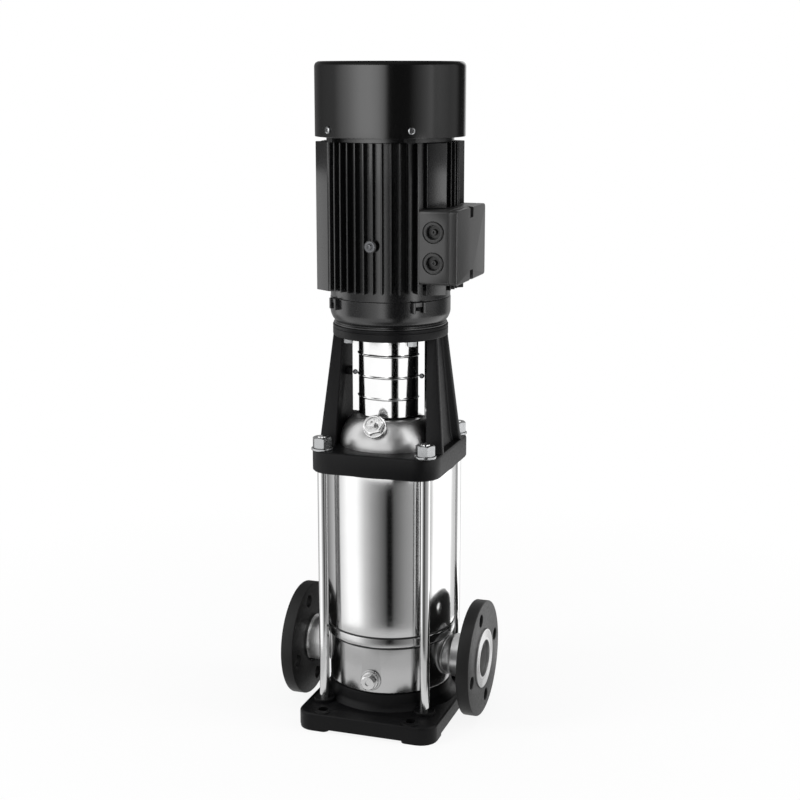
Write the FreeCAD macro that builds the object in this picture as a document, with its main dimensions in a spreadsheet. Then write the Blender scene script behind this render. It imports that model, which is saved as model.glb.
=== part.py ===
"""Vertical multistage pump with loose port flanges, split coupling and finned motor.

Millimetres. The origin is on the floor, on the shaft axis. +Z is up, the inlet
looks along -X and the outlet along +X, and the drain and vent plugs face -Y.
"""
import FreeCAD
import Part
import Sketcher
import math
import os
import re

STAGES = 5
PARTS_FOLDER = "parts"

SIZES = {
    # Fits
    "fit_gap": 0.3,  # between pieces that slide together or pass each other
    "running_gap": 0.05,  # radial, between a shaft and what it turns in
    "plug_gap": 0.1,  # radial, between a screwed piece and its hole

    # Base plate
    "base_length": 204,  # along the ports
    "base_width": 246,  # across the ports
    "base_corner": 24,  # corner radius seen from above
    "rim_height": 26,  # floor to the top of the rim
    "rim_wall": 9,  # side wall of the hollow casting
    "deck_thickness": 9,  # top wall of the hollow casting
    "deck_rise": 5,  # slope from the rim to the inner edge of the deck
    "deck_inset": 26,  # width of the sloping deck
    "rim_round": 4,  # rounding of the rim's top edge
    "foot_relief": 4,  # gap under the rim between the feet
    "foot_length": 48,  # each foot along the ports
    "foot_width": 50,  # each foot across the ports
    "seat_height": 52,  # floor to the chamber's seat
    "seat_wall": 9,  # wall of the round pedestal
    "rib_thickness": 6,  # ribs under the deck
    "anchor_length": 130,  # foundation holes, spacing along the ports
    "anchor_width": 215,  # foundation holes, spacing across the ports
    "anchor_hole": 14,  # foundation hole diameter
    "anchor_boss": 28,  # boss round each foundation hole

    # Tie rods
    "rod_spacing": 150,  # between neighbouring tie rods
    "rod_diameter": 14,  # tie rod
    "rod_boss": 30,  # boss round each rod's foot
    "rod_boss_top": 33,  # floor to the top of the rod's boss
    "rod_depth": 20,  # length screwed into the boss
    "nut_flats": 24,  # tie rod nut across its flats
    "nut_height": 15,  # tie rod nut
    "washer_diameter": 30,  # tie rod washer
    "washer_thickness": 3,  # tie rod washer

    # Ports
    "port_height": 90,  # floor to the centre of both ports
    "port_span": 284,  # between the two sealing faces
    "port_bore": 53,  # inside diameter of both ports
    "nozzle_wall": 4.5,  # wall of the nozzle where the flange turns on it
    "nozzle_root": 56,  # outside diameter of the nozzle at the chamber
    "nozzle_neck": 24,  # length of the straight neck behind the flange's back
    "collar_diameter": 84,  # raised sealing ring
    "collar_thickness": 5,  # raised sealing ring
    "collar_proud": 2,  # sealing ring in front of the flange
    "flange_diameter": 165,  # loose flange
    "flange_thickness": 18,  # loose flange
    "flange_circle": 125,  # circle of the flange's bolt holes
    "flange_hole": 18,  # bolt hole in the flange
    "flange_turn": 13.5,  # how far the loose flanges stand turned, degrees
    "lock_ring_width": 3,  # ring behind the flange, along the port
    "lock_ring_height": 4,  # ring behind the flange, radial

    # Lower chamber
    "chamber_radius": 88,  # outside of the lower chamber
    "chamber_wall": 4,  # lower chamber
    "chamber_height": 86,  # seat to the foot of the sleeve
    "band_radius": 93,  # outside of the band round the chamber's mouth
    "band_height": 16,  # band round the chamber's mouth
    "funnel_radius": 43,  # outside of the suction funnel
    "shelf_drop": 10,  # foot of the sleeve down to the stack's shelf
    "shelf_thickness": 6,  # shelf that carries the stack
    "drain_rise": 21,  # seat to the centre of the drain plug
    "drain_boss": 28,  # boss of the drain plug
    "drain_boss_proud": 2.5,  # boss in front of the chamber's wall
    "drain_thread": 15,  # shank of the drain plug
    "drain_flats": 19,  # drain plug across its flats
    "drain_head": 9,  # height of the drain plug's hexagon
    "drain_collar": 25,  # collar of the drain plug
    "drain_washer": 1.5,  # washer under the drain plug
    "drain_shank": 12,  # length screwed into the chamber

    # Sleeve and stages
    "sleeve_radius": 92,  # outside of the sleeve
    "sleeve_wall": 2.5,  # sleeve
    "sleeve_length": 230,  # sleeve
    "seal_section": 4,  # square section of the sleeve's sealing rings
    "stage_pitch": 43,  # from one stage to the next
    "stage_radius": 74,  # outside of a stage's chamber
    "stage_wall": 2.5,  # stage chamber's wall and floor
    "guide_height": 27,  # stage floor to the guide disc
    "guide_radius": 60,  # guide disc
    "guide_vane": 2,  # thickness of a guide vane
    "vane_sweep": 10,  # how far a guide vane trails at its outer end
    "vane_bend": 40,  # radius of a guide vane
    "impeller_radius": 56,  # impeller
    "impeller_lift": 9,  # stage floor to the lower shroud
    "shroud": 2,  # impeller shrouds and blades
    "passage": 9,  # height of the impeller's passage
    "blade_inset": 10,  # edge of the impeller to the end of a blade
    "blade_sweep": 24,  # how far a blade trails at its outer end
    "blade_bend": 60,  # radius of a blade
    "eye_radius": 25,  # outside of the impeller's eye
    "eye_wall": 2,  # wall of the impeller's eye
    "hub_radius": 13,  # impeller hub
    "neck_ring_width": 4,  # radial width of the ring round the eye
    "neck_ring_height": 5,  # height of the ring round the eye
    "cage_wall": 4,  # ring that holds the stack down
    "cage_window": 26,  # width of a window in that ring

    # Pump head
    "head_height": 84,  # plate's underside to the top of the seal housing
    "head_spigot": 19,  # depth of the head's spigot in the sleeve
    "head_wall": 6,  # wall of the head
    "head_ledge": 6,  # thickness of the ledge under the plate
    "dome_radius": 72,  # outside of the dome where it leaves the plate
    "dome_straight": 34,  # height of the dome's upright wall
    "dome_top": 52,  # radius of the dome at its shoulder
    "dome_round": 46,  # radius of the dome's shoulder
    "dome_drop": 13,  # top of the seal housing down to the shoulder
    "seal_housing": 32,  # outside radius of the seal housing
    "seal_seat_radius": 19,  # bore of the seal housing
    "seal_seat_height": 8,  # stationary seal ring
    "vent_reach": 58,  # shaft axis to the foot of the vent boss
    "vent_height": 60,  # plate's underside to the foot of the vent boss
    "vent_lean": 35,  # vent axis above level, degrees
    "vent_boss": 26,  # vent boss diameter
    "vent_boss_length": 9,  # vent boss
    "vent_collar": 33,  # collar of the vent plug
    "vent_collar_length": 4,  # collar of the vent plug
    "vent_flats": 27,  # vent plug across its flats
    "vent_head": 9,  # height of the vent plug's hexagon
    "vent_thread": 18,  # shank of the vent plug
    "vent_shank": 10,  # length screwed into the head
    "vent_spindle": 8,  # bleed screw diameter
    "vent_spindle_flats": 11,  # bleed screw's head across its flats
    "vent_spindle_head": 6,  # height of the bleed screw's head

    # Motor stool
    "plate_half": 93,  # half width of the square plate
    "plate_corner": 33,  # corner radius of the plate
    "plate_thickness": 31,  # plate
    "plate_round": 3,  # rounding of the plate's edges
    "stool_rise": 171,  # top of the plate to the motor's seat
    "ring_radius": 80.3,  # outside of the stool's ring
    "ring_bore": 56,  # inside radius of the stool's ring
    "ring_thickness": 16,  # stool's ring
    "leg_inner_foot": 66,  # shaft axis to the leg's inner face at the plate
    "leg_outer_foot": 91,  # shaft axis to the leg's outer face at the plate
    "leg_half_foot": 47,  # half width of the leg at the plate
    "leg_inner_top": 61,  # shaft axis to the leg's inner face at the ring
    "leg_half_top": 27,  # half width of the leg at the ring
    "leg_rib": 9,  # rib along each edge of the leg
    "leg_hollow_foot": 11,  # depth between the ribs at the plate
    "leg_hollow_top": 6,  # depth between the ribs at the ring

    # Coupling and guards
    "coupling_lift": 7,  # seal housing to the coupling
    "coupling_length": 80,  # coupling halves
    "coupling_radius": 27,  # coupling halves
    "coupling_slit": 1,  # gap between the halves
    "coupling_screw": 8,  # coupling screw diameter
    "coupling_screw_head": 13,  # coupling screw head diameter
    "coupling_screw_seat": 9,  # depth of the flat under a coupling screw's head
    "coupling_screw_inset": 18,  # end of the coupling to its screws
    "guard_radius": 45,  # outside of the guard's bulge
    "guard_sheet": 1.2,  # guard sheet
    "guard_reach": 53,  # shaft axis to the guard's edge
    "guard_offset": 10,  # shaft axis to the guard's flat flange
    "guard_lap": 9,  # guard below the top of the seal housing
    "guard_bead": 1.5,  # height of the guard's beads
    "guard_bead_width": 4,  # width of the guard's beads
    "guard_bead_pitch": 30,  # between the guard's beads
    "guard_screw": 4,  # guard screw diameter
    "guard_screw_head": 7,  # guard screw head diameter
    "guard_screw_length": 8,  # guard screw under its head
    "guard_screw_reach": 49.1,  # shaft axis to the guard's screws
    "guard_lug": 10,  # height of the lugs that carry the guards

    # Motor
    "shield_height": 34,  # motor's seat to the frame
    "shield_neck": 76.5,  # end shield's waist
    "shield_radius": 83.5,  # end shield at the frame
    "shield_wall": 7,  # end shield
    "motor_spigot": 55,  # spigot in the stool's ring, radius
    "motor_spigot_depth": 4,  # spigot in the stool's ring
    "motor_bolt_circle": 130,  # bolts between the stool and the motor
    "motor_bolt": 8,  # bolt diameter
    "motor_bolt_head": 13,  # bolt head diameter
    "shield_ear_radius": 89,  # reach of the end shield's ears
    "shield_ear_width": 17,  # end shield's ears
    "shield_ear_height": 15,  # end shield's ears
    "frame_length": 216,  # motor frame
    "frame_radius": 83,  # motor frame without its fins
    "frame_bore": 72,  # inside radius of the motor frame
    "fin_tip": 94.5,  # radius of the fin tips
    "fin_thickness": 2.4,  # cooling fin
    "fin_step": 7.6,  # angle between neighbouring fins, degrees
    "fin_start": 17,  # bottom of the frame to the fins
    "fin_end": 0.5,  # fins to the top of the frame
    "pad_start": 11,  # bottom of the frame to the rails
    "pad_near_x": 70.5,  # rail's outer face, edge away from the side
    "pad_near_y": 56,  # rail's outer face, edge away from the side
    "pad_far_x": 93.5,  # rail's outer face, edge at the side
    "pad_far_y": 41.5,  # rail's outer face, edge at the side
    "pad_depth": 14,  # rail's outer face in to the frame
    "stator_length": 130,  # stator core
    "stator_lift": 48,  # bottom of the frame to the stator
    "air_gap": 0.5,  # between the rotor and the stator
    "rotor_radius": 44,  # rotor core
    "winding_height": 20,  # winding beyond each end of the stator
    "bearing_radius": 31,  # outside of the bearings
    "bearing_width": 16,  # bearings
    "bearing_lift": 20,  # motor's seat to the lower bearing
    "top_bearing_drop": 10,  # top of the frame down to the upper bearing
    "motor_shaft": 28,  # motor shaft in the coupling, diameter
    "journal": 30,  # motor shaft in its bearings, diameter
    "pump_shaft": 16,  # pump shaft diameter
    "fan_lift": 24,  # top of the frame to the fan
    "fan_radius": 80,  # fan
    "fan_height": 30,  # fan blades
    "fan_blade": 3,  # thickness of a fan blade
    "cover_gap": 6,  # top of the frame to the fan cover
    "cover_height": 99,  # fan cover
    "cover_radius": 102.5,  # fan cover
    "cover_round": 7,  # rounding of the fan cover's top edge
    "cover_sheet": 1.6,  # fan cover
    "grille_slot": 5,  # width of a slot in the grille
    "grille_start": 24,  # shaft axis to the inner slots
    "grille_middle": 52.5,  # shaft axis to the ring between the rows of slots
    "grille_bar": 5,  # width of that ring
    "cover_lug": 12,  # width of a lug under the fan cover's screws
    "cover_screw_rise": 10,  # edge of the fan cover to its screws
    "cover_screw_turn": 34.3,  # fan cover screws from the front, degrees
    "cover_screw": 5,  # fan cover screw diameter
    "cover_screw_head": 10,  # fan cover screw head diameter
    "earth_rise": 81,  # bottom of the frame to the earth screw
    "earth_side": 3.3,  # shaft axis to the earth screw, sideways
    "earth_screw": 5,  # earth screw diameter
    "earth_head": 9,  # earth screw head diameter
    "earth_head_height": 3.5,  # earth screw head
    "earth_washer": 14.6,  # washer under the earth screw's head, diameter
    "earth_washer_thickness": 2,  # washer under the earth screw's head
    "earth_boss": 17,  # pad under the earth screw, diameter

    # Terminal box
    "box_rise": 30,  # bottom of the frame to the box
    "box_height": 99,  # box along the shaft
    "box_half": 69.5,  # half width of the box
    "box_inner": 61.5,  # shaft axis to the box's inner edge
    "box_seam": 104,  # shaft axis to the gasket
    "box_gasket": 1.5,  # gasket
    "box_cover": 10.7,  # height of the cover
    "box_wall": 4,  # box and cover
    "box_corner": 8,  # corner radius of the box
    "box_floor": 5,  # wall over the frame
    "gland_spacing": 41,  # between the two cable entries
    "gland_reach": 83,  # shaft axis to the cable entries
    "gland_hole": 25,  # cable entry
    "gland_recess": 29,  # recess round a cable entry
    "gland_recess_depth": 2,  # recess round a cable entry
    "gland_plug_rim": 2.4,  # height of the blanking plug's rim
    "gland_plug_depth": 7,  # blanking plug inside the wall
    "gland_plug_boss": 15,  # boss in the middle of the blanking plug
    "gland_plug_centre": 6,  # hollow in that boss
    "box_screw": 5,  # cover screw diameter
    "box_screw_head": 9,  # cover screw head diameter
    "box_screw_inset": 7,  # edge of the cover to its screws
    "box_screw_depth": 14,  # length of the screw holes in the box
    "block_half_length": 30,  # terminal block across the pump
    "block_half_width": 14,  # terminal block along the shaft
    "block_height": 6,  # terminal block
    "stud_height": 12,  # foot of the block to the top of a stud
    "stud_pitch": 20,  # between neighbouring studs
    "stud_row": 8,  # middle of the block to a row of studs
    "stud_diameter": 5,  # terminal stud
}

doc = FreeCAD.newDocument("vertical_multistage_pump")
sheet = doc.addObject("Spreadsheet::Sheet", "sizes")
for row, (alias, value) in enumerate(SIZES.items(), 1):
    sheet.set(f"A{row}", alias)
    sheet.set(f"B{row}", str(value))
    sheet.setAlias(f"B{row}", alias)

doc.recompute()

# Heights that follow from the sizes, from the floor up
chamber_floor = "seat_height"
sleeve_bottom = f"({chamber_floor} + chamber_height)"
stack_bottom = f"({sleeve_bottom} - shelf_drop)"
stack_top = f"({stack_bottom} + {STAGES} * stage_pitch)"
plate_bottom = f"({sleeve_bottom} + sleeve_length)"
plate_top = f"({plate_bottom} + plate_thickness)"
head_top = f"({plate_bottom} + head_height)"
coupling_bottom = f"({head_top} + coupling_lift)"
coupling_top = f"({coupling_bottom} + coupling_length)"
motor_seat = f"({plate_top} + stool_rise)"
ring_bottom = f"({motor_seat} - ring_thickness)"
guard_bottom = f"({head_top} - guard_lap)"
guard_top = f"({ring_bottom} - fit_gap)"
guard_middle = f"(({guard_bottom} + {guard_top}) / 2)"
frame_bottom = f"({motor_seat} + shield_height)"
frame_top = f"({frame_bottom} + frame_length)"
stator_bottom = f"({frame_bottom} + stator_lift)"
stator_top = f"({stator_bottom} + stator_length)"
cover_bottom = f"({frame_top} + cover_gap)"
cover_top = f"({cover_bottom} + cover_height)"
fan_bottom = f"({frame_top} + fan_lift)"
low_bearing = f"({motor_seat} + bearing_lift)"
high_bearing = f"({frame_top} - top_bearing_drop)"
box_bottom = f"({frame_bottom} + box_rise)"
box_middle = f"({box_bottom} + box_height / 2)"

# Widths that several pieces share
sleeve_bore = "(sleeve_radius - sleeve_wall)"
spigot_radius = f"({sleeve_bore} - fit_gap)"
nozzle_radius = "(port_bore / 2 + nozzle_wall)"
flange_front = "(port_span / 2 - collar_proud)"
flange_back = f"({flange_front} - flange_thickness)"
rod_place = "(rod_spacing / 2)"
rod_radius = "(rod_diameter / 2)"
shaft_radius = "(pump_shaft / 2)"
eye_bore = "(eye_radius + fit_gap)"
ring_outer = f"({eye_bore} + neck_ring_width)"


def bound(text):
    """Write a sum of size names as the document's expressions want it."""
    def prefixed(match):
        word = match.group()
        return f"{sheet.Name}.{word}" if word in SIZES else word
    return re.sub(r"[a-z_][a-z0-9_]*", prefixed, str(text))


def worth(text):
    """The number that a sum of size names comes to."""
    return float(sheet.evalExpression(bound(text)))


def bind(item, name, text):
    """Tie a property to the sheet."""
    item.setExpression(name, bound(text))


def new_body(label):
    """Start a piece."""
    item = doc.addObject("PartDesign::Body", label)
    item.Label = label
    return item


def place(item, x="0", y="0", z="0", turn="0"):
    """Put a piece at its place, turned about the upright axis."""
    turned_by = FreeCAD.Rotation(FreeCAD.Vector(0, 0, 1), worth(turn))
    item.Placement = FreeCAD.Placement(FreeCAD.Vector(worth(x), worth(y), worth(z)), turned_by)
    bind(item, ".Placement.Base.x", x)
    bind(item, ".Placement.Base.y", y)
    bind(item, ".Placement.Base.z", z)


def origin_feature(item, role):
    """One of the piece's own planes or axes."""
    return next(feature for feature in item.Origin.OriginFeatures if feature.Role == role)


def arc_middle(start, end, radius):
    """The point half way along an arc whose centre is on the left, or on the right if negative."""
    across = end - start
    half = across.Length / 2
    left = FreeCAD.Vector(-across.y, across.x, 0).normalize()
    sag = abs(radius) - math.sqrt(max(radius * radius - half * half, 0))
    return (start + end) / 2 - left * math.copysign(sag, radius)


def draw(item, name, role, corners=(), circles=(), offset=("0", "0", "0"), turn="0", swing="0"):
    """A sketch on one of the piece's planes, every corner and circle tied to the sheet.

    A corner is (x, y), or (x, y, radius) where the edge that leads to it is an arc.
    It is turned in its plane, or swung about its own upright axis, by an angle in degrees.
    """
    sketch = item.newObject("Sketcher::SketchObject", name)
    sketch.AttachmentSupport = [(origin_feature(item, role), "")]
    sketch.MapMode = "FlatFace"
    swung = FreeCAD.Rotation(FreeCAD.Vector(0, 1, 0), worth(swing))
    lean = swung.multiply(FreeCAD.Rotation(FreeCAD.Vector(0, 0, 1), worth(turn)))
    shift = FreeCAD.Vector(*[worth(text) for text in offset])
    sketch.AttachmentOffset = FreeCAD.Placement(shift, lean)
    for axis, text in zip("xyz", offset):
        bind(sketch, f".AttachmentOffset.Base.{axis}", text)
    places = [FreeCAD.Vector(worth(corner[0]), worth(corner[1]), 0) for corner in corners]
    ends = []
    for index, corner in enumerate(corners):
        start = places[index - 1]
        end = places[index]
        if len(corner) == 3:
            radius = worth(corner[2])
            edge = sketch.addGeometry(Part.Arc(start, arc_middle(start, end, radius), end))
            ends.append((edge, 1, 2) if radius > 0 else (edge, 2, 1))
            fixed = sketch.addConstraint(Sketcher.Constraint("Radius", edge, abs(radius)))
            bind(sketch, f"Constraints[{fixed}]", f"abs({corner[2]})")
        else:
            edge = sketch.addGeometry(Part.LineSegment(start, end))
            ends.append((edge, 1, 2))
    for index, corner in enumerate(corners):
        edge, first, last = ends[index]
        following, next_first, _ = ends[(index + 1) % len(corners)]
        joint = Sketcher.Constraint("Coincident", edge, last, following, next_first)
        sketch.addConstraint(joint)
        pin_point(sketch, edge, last, corner)
    for across, up, radius in circles:
        centre = FreeCAD.Vector(worth(across), worth(up), 0)
        edge = sketch.addGeometry(Part.Circle(centre, FreeCAD.Vector(0, 0, 1), worth(radius)))
        fixed = sketch.addConstraint(Sketcher.Constraint("Radius", edge, worth(radius)))
        bind(sketch, f"Constraints[{fixed}]", radius)
        pin_point(sketch, edge, 3, (across, up))
    return sketch


def pin_point(sketch, edge, end, corner):
    """Fix one point of a sketch by its two distances from the origin."""
    for kind, text in (("DistanceX", corner[0]), ("DistanceY", corner[1])):
        fixed = sketch.addConstraint(Sketcher.Constraint(kind, edge, end, worth(text)))
        bind(sketch, f"Constraints[{fixed}]", text)


def spin(item, sketch, axis="V_Axis", cut=False):
    """Turn a sketch about one of its own axes, to add or to cut."""
    kind = "Groove" if cut else "Revolution"
    feature = item.newObject(f"PartDesign::{kind}", f"{sketch.Name}_spun")
    feature.Profile = sketch
    feature.ReferenceAxis = (sketch, [axis])
    feature.Angle = 360
    return feature


def pad(item, sketch, length, back=False):
    """Raise a sketch by a length, away from its plane or back through it."""
    feature = item.newObject("PartDesign::Pad", f"{sketch.Name}_raised")
    feature.Profile = sketch
    bind(feature, "Length", length)
    feature.Reversed = back
    return feature


def pocket(item, sketch, depth, forward=False):
    """Cut a sketch in by a depth, against its plane's direction or along it."""
    feature = item.newObject("PartDesign::Pocket", f"{sketch.Name}_cut")
    feature.Profile = sketch
    bind(feature, "Length", depth)
    feature.Reversed = forward
    return feature


def polar(item, features, count, angle=360):
    """Repeat features about the piece's own upright axis."""
    feature = item.newObject("PartDesign::PolarPattern", f"{features[0].Name}_round")
    feature.Originals = features
    feature.Axis = (origin_feature(item, "Z_Axis"), [""])
    feature.Angle = angle
    feature.Occurrences = count
    item.Tip = feature
    return feature


def mirror(item, features, role):
    """Repeat features on the other side of one of the piece's own planes."""
    feature = item.newObject("PartDesign::Mirrored", f"{features[0].Name}_mirrored")
    feature.Originals = features
    feature.MirrorPlane = (origin_feature(item, role), [""])
    item.Tip = feature
    return feature


def level_edges(item, height, least=0):
    """Names of the edges that lie level at a height, outside a distance from the axis."""
    doc.recompute()
    names = []
    for number, edge in enumerate(item.Shape.Edges, start=1):
        points = [edge.valueAt(edge.FirstParameter), edge.valueAt(edge.LastParameter)]
        points.append(edge.valueAt((edge.FirstParameter + edge.LastParameter) / 2))
        level = all(abs(point.z - worth(height)) < 0.001 for point in points)
        outside = all(math.hypot(point.x, point.y) > least for point in points)
        if level and outside:
            names.append(f"Edge{number}")
    return names


def round_edges(item, names, radius):
    """Round the named edges of a piece."""
    base = item.Tip
    feature = item.newObject("PartDesign::Fillet", f"{base.Name}_rounded")
    feature.Base = (base, names)
    bind(feature, "Radius", radius)
    return feature


def rectangle(low_x, low_y, high_x, high_y):
    """Corners of a rectangle."""
    return [(low_x, low_y), (high_x, low_y), (high_x, high_y), (low_x, high_y)]


def rounded_rectangle(half_x, half_y, corner):
    """Corners of a rectangle about the origin with rounded corners."""
    in_x = f"({half_x} - {corner})"
    in_y = f"({half_y} - {corner})"
    return [
        (in_x, f"-({half_y})"),
        (half_x, f"-{in_y}", corner),
        (half_x, in_y),
        (in_x, half_y, corner),
        (f"-{in_x}", half_y),
        (f"-({half_x})", in_y, corner),
        (f"-({half_x})", f"-{in_y}"),
        (f"-{in_x}", f"-({half_y})", corner),
    ]


def hexagon(flats):
    """Corners of a hexagon about the origin, given across its flats."""
    reach = f"({flats}) / 2 / cos(30)"
    return [(f"{reach} * cos({60 * k})", f"{reach} * sin({60 * k})") for k in range(6)]


def four_ways(across, up):
    """The four mirror images of a point."""
    return [(across, up), (f"-({across})", up), (f"-({across})", f"-({up})"), (across, f"-({up})")]


def turned(label, corners):
    """A piece turned about the shaft axis from half of its section."""
    item = new_body(label)
    spin(item, draw(item, f"{label}_section", "XZ_Plane", corners))
    return item


def ring(label, inner, outer, bottom, top):
    """A plain ring about the shaft axis."""
    return turned(label, rectangle(inner, bottom, outer, top))


def base_plate():
    """Hollow iron casting on four feet, with a pedestal for the chamber."""
    item = new_body("base_plate")
    half_x = "base_length / 2"
    half_y = "base_width / 2"
    footprint = draw(item, "footprint", "XY_Plane", rounded_rectangle(half_x, half_y, "base_corner"))
    pad(item, footprint, "rim_height")
    round_edges(item, level_edges(item, "rim_height"), "rim_round")
    inner_x = f"({half_x} - rim_wall)"
    inner_y = f"({half_y} - rim_wall)"
    inner_corner = "(base_corner - rim_wall)"
    under = draw(item, "under", "XY_Plane", rounded_rectangle(inner_x, inner_y, inner_corner))
    pocket(item, under, "rim_height - deck_thickness", forward=True)
    deck_x = f"({half_x} - rim_round)"
    deck_y = f"({half_y} - rim_round)"
    deck_edge = rounded_rectangle(deck_x, deck_y, "(base_corner - rim_round)")
    deck_low = draw(item, "deck_low", "XY_Plane", deck_edge, offset=("0", "0", "rim_height - 1"))
    deck_inner = rounded_rectangle(f"({half_x} - deck_inset)", f"({half_y} - deck_inset)", "base_corner")
    deck_high = draw(item, "deck_high", "XY_Plane", deck_inner, offset=("0", "0", "rim_height + deck_rise"))
    deck = item.newObject("PartDesign::AdditiveLoft", "deck")
    deck.Profile = deck_low
    deck.Sections = [deck_high]
    deck.Ruled = True
    pedestal = [
        ("chamber_radius - seat_wall", "rim_height - deck_thickness"),
        ("base_length / 2 - rim_round", "rim_height - deck_thickness"),
        ("base_length / 2 - rim_round", "rim_height - 1"),
        ("chamber_radius + 3", "rim_height + deck_rise + 4"),
        ("chamber_radius + 1", "seat_height"),
        ("chamber_radius - seat_wall", "seat_height"),
    ]
    spin(item, draw(item, "pedestal", "XZ_Plane", pedestal))
    well = draw(item, "well", "XY_Plane", circles=[("0", "0", "chamber_radius - seat_wall - fit_gap")])
    pocket(item, well, "seat_height + 1", forward=True)
    web_half = "rib_thickness / 2"
    reach = "(chamber_radius - 1)"
    lengthwise = draw(item, "rib_x", "XY_Plane", rectangle(f"-{reach}", f"-{web_half}", reach, web_half),
                      offset=("0", "0", "foot_relief"))
    crosswise = draw(item, "rib_y", "XY_Plane", rectangle(f"-{web_half}", f"-{reach}", web_half, reach),
                     offset=("0", "0", "foot_relief"))
    pad(item, lengthwise, "rim_height - foot_relief")
    pad(item, crosswise, "rim_height - foot_relief")
    anchors = four_ways("anchor_length / 2", "anchor_width / 2")
    anchor_bosses = draw(item, "anchor_bosses", "XY_Plane",
                         circles=[(across, up, "anchor_boss / 2 - fit_gap") for across, up in anchors])
    pad(item, anchor_bosses, "rim_height")
    rods = four_ways(rod_place, rod_place)
    rod_bosses = draw(item, "rod_bosses", "XY_Plane",
                      circles=[(across, up, "rod_boss / 2") for across, up in rods],
                      offset=("0", "0", "rod_boss_top"))
    pad(item, rod_bosses, "rod_depth + deck_thickness", back=True)
    rod_holes = draw(item, "rod_holes", "XY_Plane",
                     circles=[(across, up, f"{rod_radius} + plug_gap") for across, up in rods],
                     offset=("0", "0", "rod_boss_top"))
    pocket(item, rod_holes, "rod_depth")
    anchor_holes = draw(item, "anchor_holes", "XY_Plane",
                        circles=[(across, up, "anchor_hole / 2") for across, up in anchors])
    pocket(item, anchor_holes, "2 * rim_height", forward=True)
    side_x = "(base_length / 2 - foot_length)"
    side_y = "(base_width / 2 - foot_width)"
    front_corners = rectangle(f"-{side_x}", "-base_width", side_x, "base_width")
    gap_front = draw(item, "gap_front", "XY_Plane", front_corners)
    pocket(item, gap_front, "foot_relief", forward=True)
    side_corners = rectangle("-base_length", f"-{side_y}", "base_length", side_y)
    gap_side = draw(item, "gap_side", "XY_Plane", side_corners)
    pocket(item, gap_side, "foot_relief", forward=True)
    return item


def lower_chamber():
    """Stainless chamber: both nozzles, the suction funnel and the shelf under the stack."""
    item = new_body("lower_chamber")
    inside = "(chamber_radius - chamber_wall)"
    shell = [
        ("0", chamber_floor),
        ("chamber_radius - 2", chamber_floor),
        ("chamber_radius", f"{chamber_floor} + 2"),
        ("chamber_radius", f"{sleeve_bottom} - band_height"),
        ("band_radius", f"{sleeve_bottom} - band_height"),
        ("band_radius", sleeve_bottom),
        (f"{spigot_radius}", sleeve_bottom),
        (f"{spigot_radius}", f"{sleeve_bottom} + seal_section"),
        (inside, f"{sleeve_bottom} + seal_section"),
        (inside, f"{chamber_floor} + chamber_wall"),
        ("0", f"{chamber_floor} + chamber_wall"),
    ]
    spin(item, draw(item, "shell", "XZ_Plane", shell))
    funnel_inside = "(funnel_radius - chamber_wall)"
    shelf_bottom = f"({stack_bottom} - shelf_thickness)"
    funnel = [
        (funnel_inside, f"{chamber_floor} + chamber_wall - 1"),
        ("funnel_radius", f"{chamber_floor} + chamber_wall - 1"),
        ("funnel_radius", shelf_bottom),
        ("stage_radius", shelf_bottom),
        ("stage_radius", stack_bottom),
        (funnel_inside, stack_bottom),
    ]
    spin(item, draw(item, "funnel", "XZ_Plane", funnel))
    port = ("0", "port_height", "0")
    stub_end = "(port_span / 2 - collar_thickness)"
    neck_start = f"({flange_back} - nozzle_neck)"
    outlet = [
        ("chamber_radius - 6", "0"),
        (stub_end, "0"),
        (stub_end, nozzle_radius),
        (neck_start, nozzle_radius),
        ("chamber_radius - 6", "nozzle_root / 2"),
    ]
    inlet = [
        (f"-{funnel_inside} / 2", "0"),
        (f"-{funnel_inside} / 2", "nozzle_root / 2"),
        ("-(chamber_radius - 6)", "nozzle_root / 2"),
        (f"-{neck_start}", nozzle_radius),
        (f"-{stub_end}", nozzle_radius),
        (f"-{stub_end}", "0"),
    ]
    spin(item, draw(item, "outlet_nozzle", "XZ_Plane", outlet, offset=port), "H_Axis")
    spin(item, draw(item, "inlet_nozzle", "XZ_Plane", inlet, offset=port), "H_Axis")
    funnel_bore = rectangle("0", f"{chamber_floor} + chamber_wall", funnel_inside, f"{stack_bottom} + 1")
    spin(item, draw(item, "funnel_bore", "XZ_Plane", funnel_bore), cut=True)
    outlet_bore = rectangle("funnel_radius + 12", "0", "port_span", "port_bore / 2")
    inlet_bore = rectangle("-port_span", "0", f"-{funnel_inside} / 2", "port_bore / 2")
    spin(item, draw(item, "outlet_bore", "XZ_Plane", outlet_bore, offset=port), "H_Axis", cut=True)
    spin(item, draw(item, "inlet_bore", "XZ_Plane", inlet_bore, offset=port), "H_Axis", cut=True)
    drain = ("0", f"{chamber_floor} + drain_rise", "0")
    boss_face = "(chamber_radius + drain_boss_proud)"
    boss = rectangle(f"-{boss_face}", "0", f"-({inside} - 6)", "drain_boss / 2")
    hole = rectangle(f"-{boss_face} - 1", "0", f"-({inside} - 10)", "drain_thread / 2 + plug_gap")
    spin(item, draw(item, "drain_boss", "YZ_Plane", boss, offset=drain), "H_Axis")
    spin(item, draw(item, "drain_hole", "YZ_Plane", hole, offset=drain), "H_Axis", cut=True)
    return item


def port_collar(label, side):
    """Raised sealing ring welded to the end of a nozzle, seated in the loose flange."""
    item = new_body(label)
    section = rectangle("0", "port_bore / 2", "collar_thickness", "collar_diameter / 2")
    spin(item, draw(item, f"{label}_section", "XZ_Plane", section), "H_Axis")
    facing = "180" if side > 0 else "0"
    place(item, f"{side} * port_span / 2", "0", "port_height", turn=facing)
    return item


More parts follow.
